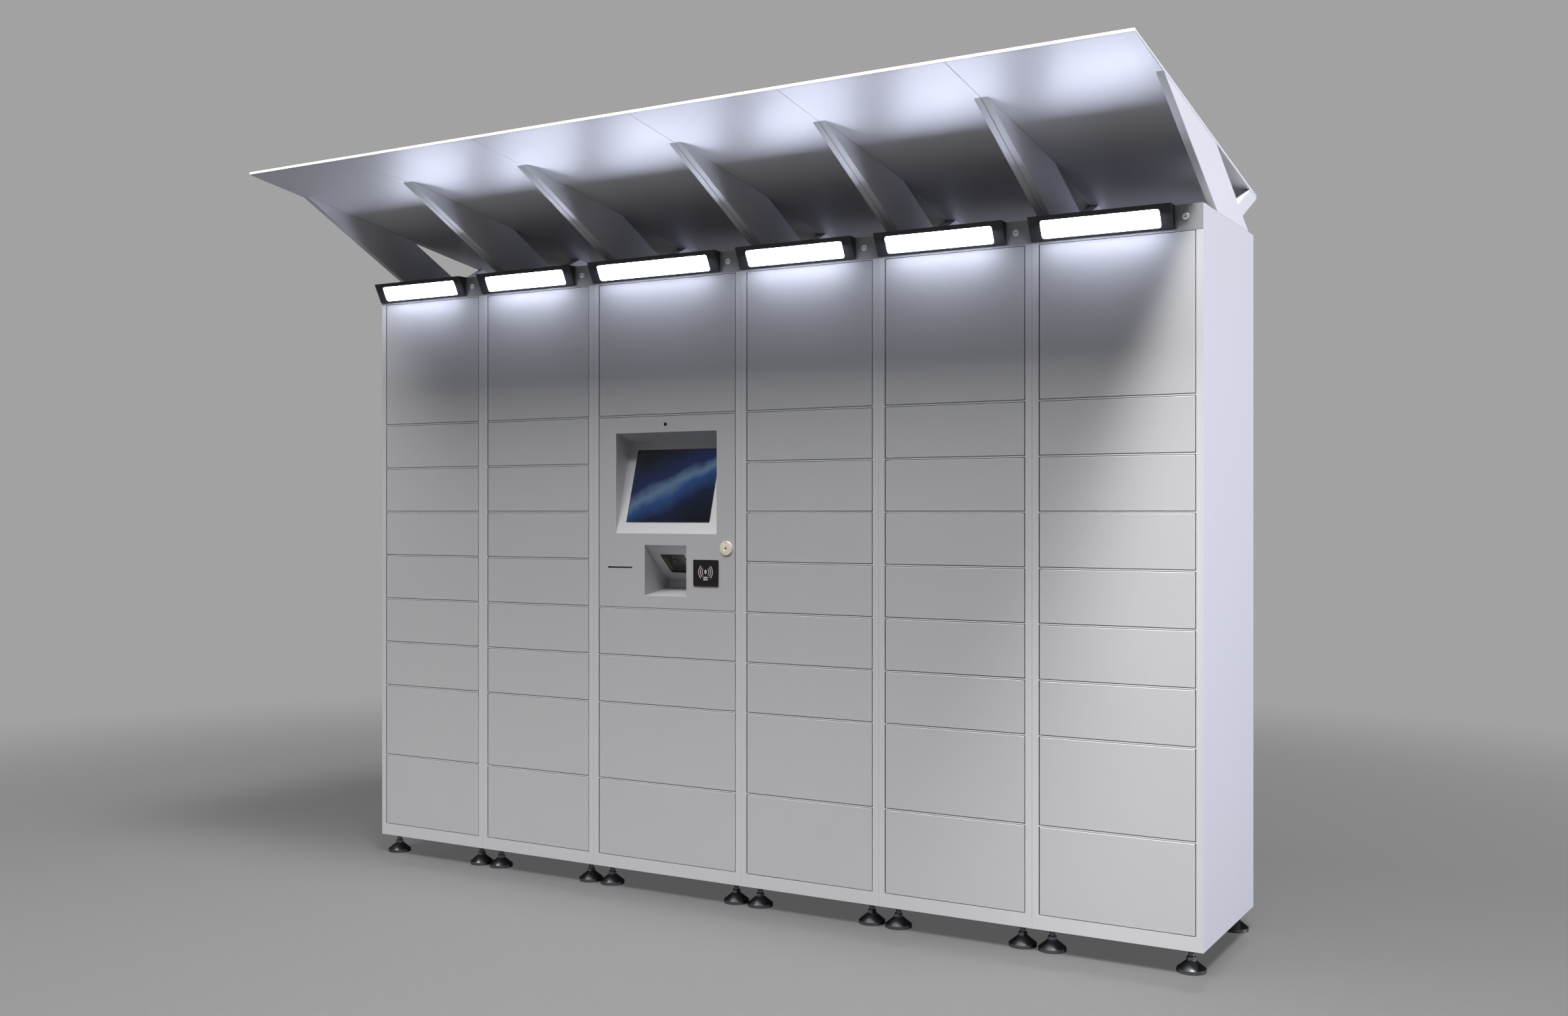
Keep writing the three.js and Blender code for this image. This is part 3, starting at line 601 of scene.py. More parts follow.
def drum(tree, radius, height, base, segments=40, top_radius=None):
    """A round or many-sided drum, or a cone, whose lower end is at base."""
    if top_radius is None:
        body = add(
            tree, "GeometryNodeMeshCylinder", {"Vertices": segments, "Radius": radius, "Depth": height}
        )
        # A cylinder is made around its own middle, and a cone from its base up.
        half_up = add(tree, "ShaderNodeMath", {0: height, 1: 0.5, 2: base}, operation="MULTIPLY_ADD")
        base = half_up.outputs[0]
    else:
        body = add(
            tree, "GeometryNodeMeshCone",
            {"Vertices": segments, "Radius Bottom": radius, "Radius Top": top_radius, "Depth": height},
        )
    place = add(tree, "ShaderNodeCombineXYZ", {"Z": base})
    return add(
        tree, "GeometryNodeTransform", {"Geometry": body.outputs["Mesh"], "Translation": place.outputs[0]}
    ).outputs[0]


def foot_tree():
    """A levelling foot: rim, dished base, hexagon nut and threaded stem."""
    s = sizes()
    stem_base, thread_base, ridge_radius = 1 * MM, 36 * MM, 0.7 * MM
    tree, given = open_tree("levelling_foot", {
        "Base Radius": s.foot_radius, "Rim Height": 9.3 * MM, "Cone Height": 20 * MM,
        "Nut Radius": 13 * MM, "Nut Height": 9 * MM, "Stem Radius": s.stem_radius,
        "Stem Height": FOOT_HEIGHT - 2 * MM, "Thread Pitch": s.thread_pitch, "Thread Turns": 12.0,
    })
    rim_top = given["Rim Height"]
    cone_top = add(
        tree, "ShaderNodeMath", {0: rim_top, 1: given["Cone Height"]}, operation="ADD"
    ).outputs[0]
    rim = drum(tree, given["Base Radius"], rim_top, 0.0, 56)
    cone = drum(tree, given["Base Radius"], given["Cone Height"], rim_top, 56, given["Nut Radius"])
    nut = drum(tree, given["Nut Radius"], given["Nut Height"], cone_top, 6)
    stem = drum(tree, given["Stem Radius"], given["Stem Height"], stem_base, 24)
    rise = add(
        tree, "ShaderNodeMath", {0: given["Thread Pitch"], 1: given["Thread Turns"]}, operation="MULTIPLY"
    ).outputs[0]
    helix = add(
        tree, "GeometryNodeCurveSpiral",
        {"Resolution": 12, "Rotations": given["Thread Turns"], "Start Radius": given["Stem Radius"],
         "End Radius": given["Stem Radius"], "Height": rise},
    )
    wire = add(tree, "GeometryNodeCurvePrimitiveCircle", {"Resolution": 4, "Radius": ridge_radius})
    ridge = add(
        tree, "GeometryNodeCurveToMesh",
        {"Curve": helix.outputs[0], "Profile Curve": wire.outputs["Curve"], "Fill Caps": True},
    )
    lift = add(tree, "ShaderNodeCombineXYZ", {"Z": thread_base})
    thread = add(
        tree, "GeometryNodeTransform", {"Geometry": ridge.outputs[0], "Translation": lift.outputs[0]}
    ).outputs[0]
    return close_tree(tree, given["Geometry"], joined(tree, rim, cone, nut, stem, thread), chrome())


def pin_tree():
    """A hinge pin with a thin washer between the lip and the door on each side of it."""
    washer, washer_gap = 0.6 * MM, LIP_HALF + 0.15 * MM
    tree, given = open_tree("hinge_pin", {
        "Pin Radius": sizes().pin_radius, "Pin Length": 12.6 * MM,
        "Washer Radius": 2.9 * MM, "Washer Thickness": washer,
    })
    half = add(tree, "ShaderNodeMath", {0: given["Pin Length"], 1: -0.5}, operation="MULTIPLY").outputs[0]
    body = drum(tree, given["Pin Radius"], given["Pin Length"], half, 24)
    upper = drum(tree, given["Washer Radius"], given["Washer Thickness"], washer_gap, 24)
    lower = drum(tree, given["Washer Radius"], given["Washer Thickness"], -washer_gap - washer, 24)
    return close_tree(tree, given["Geometry"], joined(tree, body, upper, lower), chrome())


def screw_tree():
    """A pan-head screw, whose axis lies along X."""
    tree, given = open_tree("latch_screw", {
        "Head Radius": 3.4 * MM, "Head Height": 1.8 * MM, "Crown Radius": 1.6 * MM,
        "Crown Height": 0.7 * MM,
    })
    head = drum(tree, given["Head Radius"], given["Head Height"], 0.0, 20)
    crown = drum(
        tree, given["Head Radius"], given["Crown Height"], given["Head Height"], 20, given["Crown Radius"]
    )
    stack = joined(tree, head, crown)
    turn = add(tree, "GeometryNodeTransform", {"Geometry": stack, "Rotation": (0, -math.pi / 2, 0)})
    return close_tree(tree, given["Geometry"], turn.outputs[0], chrome())


def scatter(name, tree, places, body):
    """Runs a tree on a cloud of points and keeps its result as a plain mesh."""
    cloud = bpy.data.meshes.new(name)
    cloud.from_pydata([tuple(place) for place in places], [], [])
    carrier = bpy.data.objects.new(name + "_points", cloud)
    bpy.context.scene.collection.objects.link(carrier)
    carrier.modifiers.new("nodes", "NODES").node_group = tree
    depsgraph = bpy.context.evaluated_depsgraph_get()
    result = bpy.data.meshes.new_from_object(carrier.evaluated_get(depsgraph))
    bpy.data.objects.remove(carrier)
    return settle(name, result, None, body)


# ------------------------------------------------------------------ cabinets and doors


def cabinet_sides(cabinet):
    low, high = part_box(cabinet)
    return low.x, high.x


def doors_of(cabinet):
    return [name for name in DOORS if number_of(name) == number_of(cabinet)]


def fronts_of(cabinet):
    """A cabinet's doors, and the service panel where it has one."""
    return doors_of(cabinet) + ([PANEL] if cabinet == PANEL_CABINET else [])


def make_feet():
    s = sizes()
    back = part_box(CABINETS[0])[1].y
    places = []
    for cabinet in CABINETS:
        left, right = cabinet_sides(cabinet)
        for x in (left + s.foot_inset, right - s.foot_inset):
            places += [(x, s.foot_inset, 0), (x, back - s.foot_inset, 0)]
    scatter("levelling_feet", foot_tree(), places, ROOT)


def make_pins():
    s = sizes()
    places = []
    for cabinet in CABINETS:
        boxes = [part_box(name) for name in fronts_of(cabinet)]
        x = boxes[0][0].x + s.pivot_inset
        ends = sorted([low.z for low, high in boxes] + [high.z for low, high in boxes])
        half_gap = (ends[2] - ends[1]) / 2
        between = [(a + b) / 2 for a, b in zip(ends[1:-1:2], ends[2::2])]
        lines = [ends[0] - half_gap] + between + [ends[-1] + half_gap]
        places += [(x, s.pivot_depth, z) for z in lines]
    scatter("hinge_pins", pin_tree(), places, ROOT)


def make_latch_screws():
    """Two screws in the side of each latch."""
    latch_width, depth, half_spacing = 17 * MM, 56 * MM, 22 * MM
    places = []
    for name in DOORS:
        low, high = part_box(name)
        middle = (low.z + high.z) / 2
        x = high.x + SIDE_GAP - latch_width
        places += [(x, depth, middle + side * half_spacing) for side in (-1, 1)]
    scatter("latch_screws", screw_tree(), places, ROOT)


def make_latch_jaws():
    """The two jaws of each latch, above and below the door's strike."""
    half_width, near, far, thick = 3.5 * MM, 10.2 * MM, 12.3 * MM, 4 * MM
    inset, depth = 4 * MM, 24.5 * MM
    bm = bmesh.new()
    for name in DOORS:
        low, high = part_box(name)
        at = front(high.x - inset, (low.z + high.z) / 2, depth)
        for v in ((near, far), (-far, -near)):
            slab(bm, at, (-half_width, half_width), v, (0, thick), 1 * MM, 0.3 * MM, 2)
    piece("latch_jaws", bm, chrome(), ROOT)


def make_gap_shade_liners():
    """Black rubber strips on the frame, painted shade that darkens the gaps around the doors."""
    thin, thick = 0.4 * MM, 0.85 * MM
    side_front, lip_front, back = 0.6 * MM, 0.4 * MM, 17 * MM
    clear_of_pin = 9 * MM
    corner, edge = 0.1 * MM, 0.05 * MM
    for cabinet in CABINETS:
        boxes = [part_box(name) for name in fronts_of(cabinet)]
        spans = sorted((low.z, high.z) for low, high in boxes)
        low, high = boxes[0]
        left, right = low.x - SIDE_GAP, high.x + SIDE_GAP
        bm = bmesh.new()
        for u in ((left, left + thin), (right - thin, right)):
            v = (spans[0][0], spans[-1][1])
            slab(bm, front(0, 0), u, v, (side_front, back), corner, edge, 1)
        for below, above in zip(spans, spans[1:]):
            at = front(0, (below[1] + above[0]) / 2)
            u = (low.x + clear_of_pin, right - thin)
            for v in ((LIP_HALF, LIP_HALF + thick), (-LIP_HALF - thick, -LIP_HALF)):
                slab(bm, at, u, v, (lip_front, back), corner, edge, 1)
        piece("gap_liners_" + number_of(cabinet), bm, rubber(), ROOT)


def tray(bm, low, high):
    """A folded sheet tray: a face, four flanges, round bends, open at the back."""
    s = sizes()

    def bend(offset, radius, turns=4):
        """From the flange round to the face, as (inset, depth) pairs."""
        angles = [math.pi / 2 * i / turns for i in range(turns + 1)]
        return [(offset + radius * (1 - math.cos(a)), offset + radius * (1 - math.sin(a))) for a in angles]

    inner = bend(s.sheet, max(s.bend - s.sheet, 0.1 * MM))
    path = inner[::-1] + [(s.sheet, s.door_depth), (0, s.door_depth)] + bend(0, s.bend)
    at = front(0, 0)
    loft(bm, [[at(a, b, depth) for a, b in rounded(low.x, high.x, low.z, high.z, s.bend, inset, 3)]
              for inset, depth in path])


def pin_holes(low, high):
    """A round cutter along a door's pivot, for the holes that its hinge pins turn in."""
    s = sizes()
    clearance, overrun = 0.3 * MM, 2 * MM
    at = level(low.x + s.pivot_inset, s.pivot_depth, low.z)
    radius = s.pin_radius + clearance
    bm = bmesh.new()
    turned(bm, at, [(radius, -overrun), (radius, high.z - low.z + overrun)], 24)
    return bm


def cut(whole, tool):
    """One bmesh less another, as a plain mesh."""
    things = []
    for bm in (whole, tool):
        mesh = bpy.data.meshes.new("cut")
        bm.to_mesh(mesh)
        bm.free()
        thing = bpy.data.objects.new("cut", mesh)
        bpy.context.scene.collection.objects.link(thing)
        things.append(thing)
    modifier = things[0].modifiers.new("cut", "BOOLEAN")
    modifier.operation = "DIFFERENCE"
    modifier.solver = "EXACT"
    modifier.object = things[1]
    depsgraph = bpy.context.evaluated_depsgraph_get()
    result = bpy.data.meshes.new_from_object(things[0].evaluated_get(depsgraph))
    for thing in things:
        bpy.data.objects.remove(thing)
    return result


def strike(bm, low, high):
    """The tongue behind the door's free edge that enters the latch."""
    inset, half_height, thick = 3 * MM, 9 * MM, 2 * MM
    at = edgewise(high.x - inset, (low.z + high.z) / 2)
    slab(bm, at, (sizes().sheet, high.y), (-half_height, half_height), (0, thick), 2 * MM, 0.3 * MM)


def bumper(bm, low, high):
    """Two rubber buttons inside the free corners, which quieten the door."""
    rise, inset = 14 * MM, 16 * MM
    profile = [(4 * MM, 1.6 * MM), (4 * MM, 4 * MM), (3 * MM, 5 * MM), (0, 5 * MM)]
    for z in (low.z + rise, high.z - rise):
        turned(bm, front(high.x - inset, z), profile, 16)


# ------------------------------------------------------------------ lights and locks


def light_plane(cabinet):
    """The sloping face of a light housing, with its width and its height along the slope."""
    s = sizes()
    left, right = cabinet_sides(cabinet)
    lean = (s.light_reach_bottom - s.light_reach_top, s.light_height)
    at = sloping(left, -s.light_reach_bottom, TOP - s.light_height, lean)
    return at, right - left - s.light_end_margin + HALF_SEAM, math.hypot(*lean)


def lens_window(width, rise):
    """The lens's place on the sloping face."""
    s = sizes()
    share = rise / s.light_height
    u = (s.lens_width_inset, width - s.lens_width_inset)
    v = ((s.light_height - s.lens_bottom) * share, (s.light_height - s.lens_top) * share)
    return u, v


def make_light(cabinet):
    """A housing around an opening, and the lens that sits in it."""
    at, width, rise = light_plane(cabinet)
    u, v = lens_window(width, rise)
    corner = sizes().lens_corner
    skin, lip, steps = 0.5 * MM, 0.8 * MM, 5
    housing_corner, wall, window_depth = 1.2 * MM, -0.3 * MM, 2.6 * MM

    def outside(grow, depth):
        outline = rounded(-grow, width + grow, -grow, rise + grow, housing_corner, 0, steps)
        return [at(a, b, depth) for a, b in outline]

    def window(grow, depth):
        outline = rounded(u[0] - grow, u[1] + grow, v[0] - grow, v[1] + grow, corner, 0, steps)
        return [at(a, b, depth) for a, b in outline]

    edge = outside(skin, lip - skin)
    root = [(x, wall, z) for x, _, z in edge]
    rings = [window(0, window_depth), window(0, lip - skin), window(lip, -skin),
             outside(skin - lip, -skin), edge, root]
    bm = bmesh.new()
    loft(bm, rings, closed=True)
    # The housing's charcoal is painted shade.
    piece("light_housing_" + number_of(cabinet), bm, housing_painted_shade(), ROOT)
    fit = 0.4 * MM
    bm = bmesh.new()
    slab(bm, at, (u[0] + fit, u[1] - fit), (v[0] + fit, v[1] - fit), (0.6 * MM, 2.7 * MM),
         corner, 0.6 * MM, steps)
    piece("light_lens_" + number_of(cabinet), bm, opal_lens(), ROOT)


def make_header(cabinet):
    """The strip of steel beside and behind the light, painted darker as shade, and the cam lock in it."""
    s = sizes()
    left, right = cabinet_sides(cabinet)
    number = number_of(cabinet)
    above_door, margin = 3.4 * MM, 0.1 * MM
    low = max(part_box(name)[1].z for name in doors_of(cabinet)) + above_door
    # Painted shade: a thin sheet over the cabinet's front that colours the header darker.
    bm = bmesh.new()
    slab(bm, front(0, 0), (left + margin, right - margin), (low, TOP - margin),
         (-0.45 * MM, -0.02 * MM), 0.6 * MM, 0.2 * MM)
    piece("header_shade_strip_" + number, bm, header_painted_shade(), ROOT)
    at = front(right - s.cam_lock_inset, TOP - s.cam_lock_drop)
    r = s.cam_lock_radius
    bm = bmesh.new()
    turned(bm, at, [(r, 0), (r, -2.9 * MM), (r - 0.8 * MM, -3.7 * MM), (r - 2.2 * MM, -3.7 * MM),
                    (r - 2.5 * MM, -3.2 * MM), (0, -3.2 * MM)], 40)
    piece("cam_lock_" + number, bm, zinc_plate(), ROOT)
    # Painted shade: the key slot is a black slab just proud of the lock's face, not a hole.
    half_length, half_width = 4.5 * MM, 0.9 * MM
    bm = bmesh.new()
    slab(bm, at, (-half_length, half_length), (-half_width, half_width), (-3.3 * MM, -3.1 * MM),
         0.8 * MM, 0.05 * MM)
    piece("cam_lock_slot_shade_" + number, bm, rubber(), ROOT)


# ------------------------------------------------------------------ canopy


def underside(y):
    """Height of the roof's underside, which falls evenly from front to rear."""
    s = sizes()
    low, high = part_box("canopy")
    slope = (s.roof_front_rise - s.roof_rear_rise) / (high.y - low.y)
    return TOP + s.roof_front_rise - slope * (y - low.y)


def make_roof():
    """One sheet for each cabinet, side by side with a fine seam between them."""
    s = sizes()
    low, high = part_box("canopy")
    rise = underside(high.y) - underside(low.y)
    run = high.y - low.y
    steep = math.hypot(run, rise)
    thickness = s.roof_thickness * run / steep
    gap = s.roof_seam / 2 - HALF_SEAM
    foot = underside(low.y)

    def at(u, v, d):
        return u, low.y + (v * run - d * rise) / steep, foot + (v * rise + d * run) / steep

    for cabinet in CABINETS:
        left, right = cabinet_sides(cabinet)
        bm = bmesh.new()
        slab(bm, at, (left + gap, right - gap), (0.6 * MM, steep - 1.2 * MM), (0, thickness),
             1 * MM, 1.2 * MM)
        piece("roof_sheet_" + number_of(cabinet), bm, canopy_enamel(), ROOT, ["canopy"])


def bracket_outline():
    """The Y-shaped plate in y and z: a broad strut and, behind it, a slim arm."""
    s = sizes()
    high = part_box("canopy")[1]
    seat = TOP + 0.4 * MM
    gap = 0.2 * MM
    fall = underside(0) - underside(1)
    strut_front = s.strut_rear - s.strut_length

    def strut_edge(y):
        return seat + s.strut_slope * (s.strut_rear - y)

    def meets_roof(y, z, rise):
        """Where a line through y and z, with a rise per length, comes to the roof."""
        at = (underside(0) - gap - z + rise * y) / (rise + fall)
        return at, underside(at) - gap

    lower = s.strut_rear - s.arm_root
    upper = lower - s.arm_width
    lean = math.atan(s.arm_slope)
    radius = s.arm_tip_radius
    arm_end = high.y - 1 * MM
    tip = arm_end - radius
    tip_z = strut_edge(lower) + s.arm_slope * (tip - lower) + radius / math.cos(lean)
    points = [(strut_front, seat), (s.strut_rear, seat), (lower, strut_edge(lower))]
    steps = 6
    for i in range(steps + 1):
        angle = (lean - math.pi / 2) * (1 - i / steps)
        y = tip + radius * math.cos(angle)
        z = tip_z + radius * math.sin(angle)
        if z < underside(y) - gap:
            points.append((y, z))
    points.append((min(points[-1][0] + 1 * MM, arm_end), underside(arm_end) - gap))
    points.append(meets_roof(upper, strut_edge(upper), s.arm_slope))
    points.append((upper, strut_edge(upper)))
    points.append(meets_roof(s.strut_rear, seat, -s.strut_slope))
    points.append(meets_roof(strut_front, seat, -s.strut_slope))
    return points


def bracket_plate(x0, x1):
    """One plate from x0 to x1, with a small round on its edges."""
    bevel, same_place = 0.9 * MM, 1e-7
    bm = bmesh.new()
    face = bm.faces.new([bm.verts.new((x0, y, z)) for y, z in bracket_outline()])
    moved = bmesh.ops.extrude_face_region(bm, geom=[face])["geom"]
    corners = [part for part in moved if isinstance(part, bmesh.types.BMVert)]
    bmesh.ops.translate(bm, verts=corners, vec=(x1 - x0, 0, 0))
    bmesh.ops.recalc_face_normals(bm, faces=list(bm.faces))
    rims = [edge for edge in bm.edges if abs(edge.verts[0].co.x - edge.verts[1].co.x) < same_place]
    bmesh.ops.bevel(bm, geom=rims, offset=bevel, segments=2, affect="EDGES")
    return bm


def make_brackets():
    """A single plate at each end of the roof, and a pair of plates at each seam."""
    thickness = sizes().bracket_thickness
    seam = 0.2 * MM
    for cabinet in CABINETS:
        left, right = cabinet_sides(cabinet)
        spans = {"left": (left + seam, left + thickness), "right": (right - thickness, right - seam)}
        for side, (x0, x1) in spans.items():
            name = f"bracket_{number_of(cabinet)}_{side}"
            piece(name, bracket_plate(x0, x1), canopy_enamel(), ROOT, ["canopy"])


# ------------------------------------------------------------------ service panel


def panel_middle():
    low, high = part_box(PANEL)
    return (low.x + high.x) / 2


def screen_plane():
    """The screen's leaning plate: v up it from the recess's lower edge, d behind it."""
    s = sizes()
    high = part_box(PANEL)[1]
    bottom = high.z - s.screen_recess_drop - s.screen_recess_height
    return sloping(panel_middle(), 0, bottom, (math.sin(s.screen_tilt), math.cos(s.screen_tilt)))


def scanner_plane():
    """The scanner's plate: v up it from its lower rear edge, d behind it."""
    s = sizes()
    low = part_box(PANEL)[0]
    top = low.z + s.scanner_rise + s.scanner_recess_height
    up = (-s.scanner_plate_depth, s.scanner_plate_drop)
    return sloping(panel_middle(), s.scanner_plate_depth, top - s.scanner_plate_drop, up), math.hypot(*up)


def make_display():
    """The touch screen's glass, and a thin rubber gasket around it."""
    s = sizes()
    at = screen_plane()
    half, fit, corner = s.glass_width / 2, 0.3 * MM, 1.5 * MM
    low, high = s.glass_rise, s.glass_rise + s.glass_height
    dress("touch_screen", rubber())
    bm = bmesh.new()
    slab(bm, at, (-half + fit, half - fit), (low + fit, high - fit), (0.1 * MM, 1.2 * MM), corner, 0.4 * MM)
    piece("display_glass", bm, display_glass(), PANEL)

    def ring(grow, depth):
        outline = rounded(-half - grow, half + grow, low - grow, high + grow, corner + grow, 0, 4)
        return [at(a, b, depth) for a, b in outline]

    inside, outside, top, bottom = -0.2 * MM, 1.4 * MM, -0.25 * MM, 0.5 * MM
    drop, slope = 0.2 * MM, 0.3 * MM
    bm = bmesh.new()
    loft(bm, [ring(inside, bottom), ring(inside, top + drop), ring(inside + slope, top),
              ring(outside - slope, top), ring(outside, top + drop), ring(outside, bottom)], closed=True)
    piece("display_gasket", bm, rubber(), PANEL)


def make_scanner():
    """The scanner's window, the tinted strips at its sides, and the eye and bar in its middle."""
    plane, rise = scanner_plane()
    half = sizes().scanner_window / 2

    def at(u, v, d):
        return plane(u, rise / 2 + v, d)

    def eye(u, v, d):
        return at(u, v + 14 * MM, d)

    dress("barcode_scanner", rubber())
    bm = bmesh.new()
    slab(bm, at, (-half, half), (-half, half), (-0.6 * MM, 1.2 * MM), 9 * MM, 0.6 * MM, 6)
    piece("scanner_window", bm, smoked_acrylic(), PANEL)
    near, far, strip = half - 16 * MM, half - 4 * MM, half - 12 * MM
    bm = bmesh.new()
    for u in ((-far, -near), (near, far)):
        slab(bm, at, u, (-strip, strip), (-0.9 * MM, 0), 5 * MM, 0.3 * MM)
    piece("scanner_side_windows", bm, olive_acrylic(), PANEL)
    bm = bmesh.new()
    slab(bm, at, (-20 * MM, 20 * MM), (-30 * MM, -20 * MM), (-1.0 * MM, 0), 4 * MM, 0.3 * MM)
    turned(bm, eye, [(11 * MM, 0), (11 * MM, -1.6 * MM), (9 * MM, -2.2 * MM), (7 * MM, -1.4 * MM),
                     (0, -1.4 * MM)], 32)
    piece("scanner_eye", bm, reader_plastic(), PANEL)


def arc_band(bm, at, radius, width, start, end, d, steps=18):
    """A raised arc of print, from start to end in degrees."""
    rings = []
    for i in range(steps + 1):
        angle = math.radians(start + (end - start) * i / steps)
        c, s = math.cos(angle), math.sin(angle)
        corners = [(radius, d[0]), (radius + width, d[0]), (radius + width, d[1]), (radius, d[1])]
        rings.append([at(r * c, r * s, depth) for r, depth in corners])
    loft(bm, rings)


def make_reader():
    """The card reader, and the arcs and bars printed on it."""
    s = sizes()
    low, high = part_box(PANEL)
    x = high.x - s.reader_inset - s.reader_width / 2
    z = low.z + s.reader_rise
    skin = 0.3 * MM
    half_width, half_height = s.reader_width / 2 + skin, s.reader_height / 2 + skin
    bm = bmesh.new()
    slab(bm, front(x, z), (-half_width, half_width), (-half_height, half_height),
         (-3.2 * MM, -0.02 * MM), 4 * MM, 0.9 * MM, 6)
    piece("card_reader", bm, reader_plastic(), PANEL)
    proud, roll = (-3.32 * MM, -3.1 * MM), 0.05 * MM
    half_arc = 48
    bm = bmesh.new()
    for radius in (11 * MM, 17.5 * MM, 24 * MM):
        for middle in (0, 180):
            arc_band(bm, front(x, z + 3 * MM), radius, 2.2 * MM, middle - half_arc, middle + half_arc, proud)
    slab(bm, front(x, z + 4 * MM), (-3.5 * MM, 3.5 * MM), (-5.5 * MM, 5.5 * MM), proud, 1 * MM, roll)
    for lower in (-22 * MM, -15.5 * MM):
        slab(bm, front(x, z), (-8 * MM, 8 * MM), (lower, lower + 4.2 * MM), proud, 1.4 * MM, roll)
    piece("reader_print", bm, pad_print(), PANEL)


def make_service_lock():
    """The lock's disc, its key slot as a black slab of painted shade, and its index mark."""
    s = sizes()
    low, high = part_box(PANEL)
    at = front(high.x - s.lock_inset, low.z + s.lock_rise)
    r = s.lock_radius
    bm = bmesh.new()
    turned(bm, at, [(r, 0), (r, -3.2 * MM), (r - 0.5 * MM, -3.9 * MM), (r - 1.4 * MM, -4.2 * MM),
                    (8 * MM, -4.6 * MM), (7.4 * MM, -4.2 * MM), (7 * MM, -4.4 * MM), (0, -4.4 * MM)], 64)
    piece("service_lock_disc", bm, lock_nickel(), PANEL)
    # Painted shade: the cross of the key slot is a black slab just proud of the disc, not a hole. The index
    # mark is a black slab too.
    long, short, roll = (-5 * MM, 5 * MM), (-0.9 * MM, 0.9 * MM), 0.05 * MM
    mark_width, mark_height = (-2.5 * MM, 2.5 * MM), (r - 4.5 * MM, r - 2.6 * MM)
    bm = bmesh.new()
    slab(bm, at, long, short, (-4.52 * MM, -4.3 * MM), 0.8 * MM, roll)
    slab(bm, at, short, long, (-4.53 * MM, -4.3 * MM), 0.8 * MM, roll)
    slab(bm, at, mark_width, mark_height, (-4.35 * MM, -4.0 * MM), 0.9 * MM, roll)
    piece("service_lock_slot_shade_and_mark", bm, rubber(), PANEL)


def make_camera_window():
    """The camera's small domed window, over the screen."""
    at = front(panel_middle(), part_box(PANEL)[1].z - sizes().camera_drop)
    bm = bmesh.new()
    turned(bm, at, [(5.9 * MM, 1.4 * MM), (5.9 * MM, -0.3 * MM), (5.3 * MM, -0.6 * MM), (4.4 * MM, -0.3 * MM),
                    (3.4 * MM, 0.4 * MM), (1.5 * MM, 0.1 * MM), (0, 0)], 32)
    piece("camera_window", bm, smoked_acrylic(), PANEL)


def make_receipt_slot():
    """A rubber liner in the slot, with a low rim around it."""
    s = sizes()
    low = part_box(PANEL)[0]
    left = low.x + s.slot_inset
    right = left + s.slot_width
    at = front(0, low.z + s.slot_rise)
    half_height, corner, back = 1.1 * MM, 0.6 * MM, 12 * MM

    def ring(grow, depth):
        v = half_height + grow
        return [at(a, b, depth) for a, b in rounded(left - grow, right + grow, -v, v, corner + grow, 0, 3)]

    bm = bmesh.new()
    loft(bm, [ring(0, back), ring(0, 0.1 * MM), ring(0.3 * MM, -0.25 * MM), ring(1.1 * MM, -0.25 * MM),
              ring(1.3 * MM, -0.02 * MM), ring(0.15 * MM, 0.2 * MM), ring(0.15 * MM, back)], closed=True)
    piece("receipt_slot_liner", bm, rubber(), PANEL)


# ------------------------------------------------------------------ back of the cabinets


def make_grommets():
    """A rubber ring in each cabinet's cable hole."""
    hole_drop = 33 * MM
    profile = [(17 * MM, 4 * MM), (17 * MM, -1.6 * MM), (18 * MM, -2.4 * MM), (22 * MM, -2.4 * MM),
               (23.5 * MM, -1.4 * MM), (23.5 * MM, -0.1 * MM), (19.5 * MM, -0.1 * MM), (19.5 * MM, 4 * MM)]
    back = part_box(CABINETS[0])[1].y
    bm = bmesh.new()
    for cabinet in CABINETS:
        at = rear(sum(cabinet_sides(cabinet)) / 2, TOP - hole_drop, back)
        loft(bm, [[at(a, b, d) for a, b in circle(r, 40)] for r, d in profile], closed=True)
    piece("cable_grommets", bm, rubber(), ROOT)


# ------------------------------------------------------------------ stage


def make_camera():
    stage = bpy.context.scene.locker_stage
    data = bpy.data.cameras.new("camera")
    data.lens = stage.lens
    data.sensor_width = 36
    data.shift_y = stage.shift
    camera = bpy.data.objects.new("camera", data)
    bpy.context.scene.collection.objects.link(camera)
    camera.location = stage.place
    camera.rotation_euler = (math.pi / 2, 0, stage.turn)
    bpy.context.scene.camera = camera


def make_floor():
    """A wide slab, whose top lies just under the feet."""
    reach, corner, edge = 8.0, 0.5, 0.01
    bm = bmesh.new()
    slab(bm, level(0, 0, 0), (-reach, reach), (-reach, reach), (-50 * MM, -0.5 * MM), corner, edge)
    mesh = bpy.data.meshes.new("floor")
    bm.to_mesh(mesh)
    bm.free()
    mesh.materials.append(finish("painted_floor", colours().floor, 0.8, 0.0, fading(2.6, 6.2, 0.5)))
    floor = bpy.data.objects.new("floor", mesh)
    bpy.context.scene.collection.objects.link(floor)


def make_light_source(name, size, power, place, target, tint="#ffffff"):
    """A rectangular lamp at a place, turned to a target. size is its width and height."""
    data = bpy.data.lights.new(name, "AREA")
    data.shape = "RECTANGLE"
    data.size, data.size_y = size
    data.energy = power
    data.color = linear(tint)[:3]
    lamp = bpy.data.objects.new(name, data)
    bpy.context.scene.collection.objects.link(lamp)
    lamp.location = place
    direction = Vector(target) - Vector(place)
    lamp.rotation_euler = direction.to_track_quat("-Z", "Y").to_euler()
    return lamp


def make_lamps():
    """The glow that each light throws down the doors under it."""
    margin, height, power = 140 * MM, 30 * MM, 0.55
    for cabinet in CABINETS:
        left, right = cabinet_sides(cabinet)
        x = (left + right) / 2 - 30 * MM
        lamp = make_light_source(
            "lamp_" + number_of(cabinet), (right - left - margin, height), power,
            (x, -55 * MM, TOP - 30 * MM), (x, 0, TOP - 200 * MM), "#e4e9ff",
        )
        lamp.visible_camera = False
        lamp.visible_glossy = False


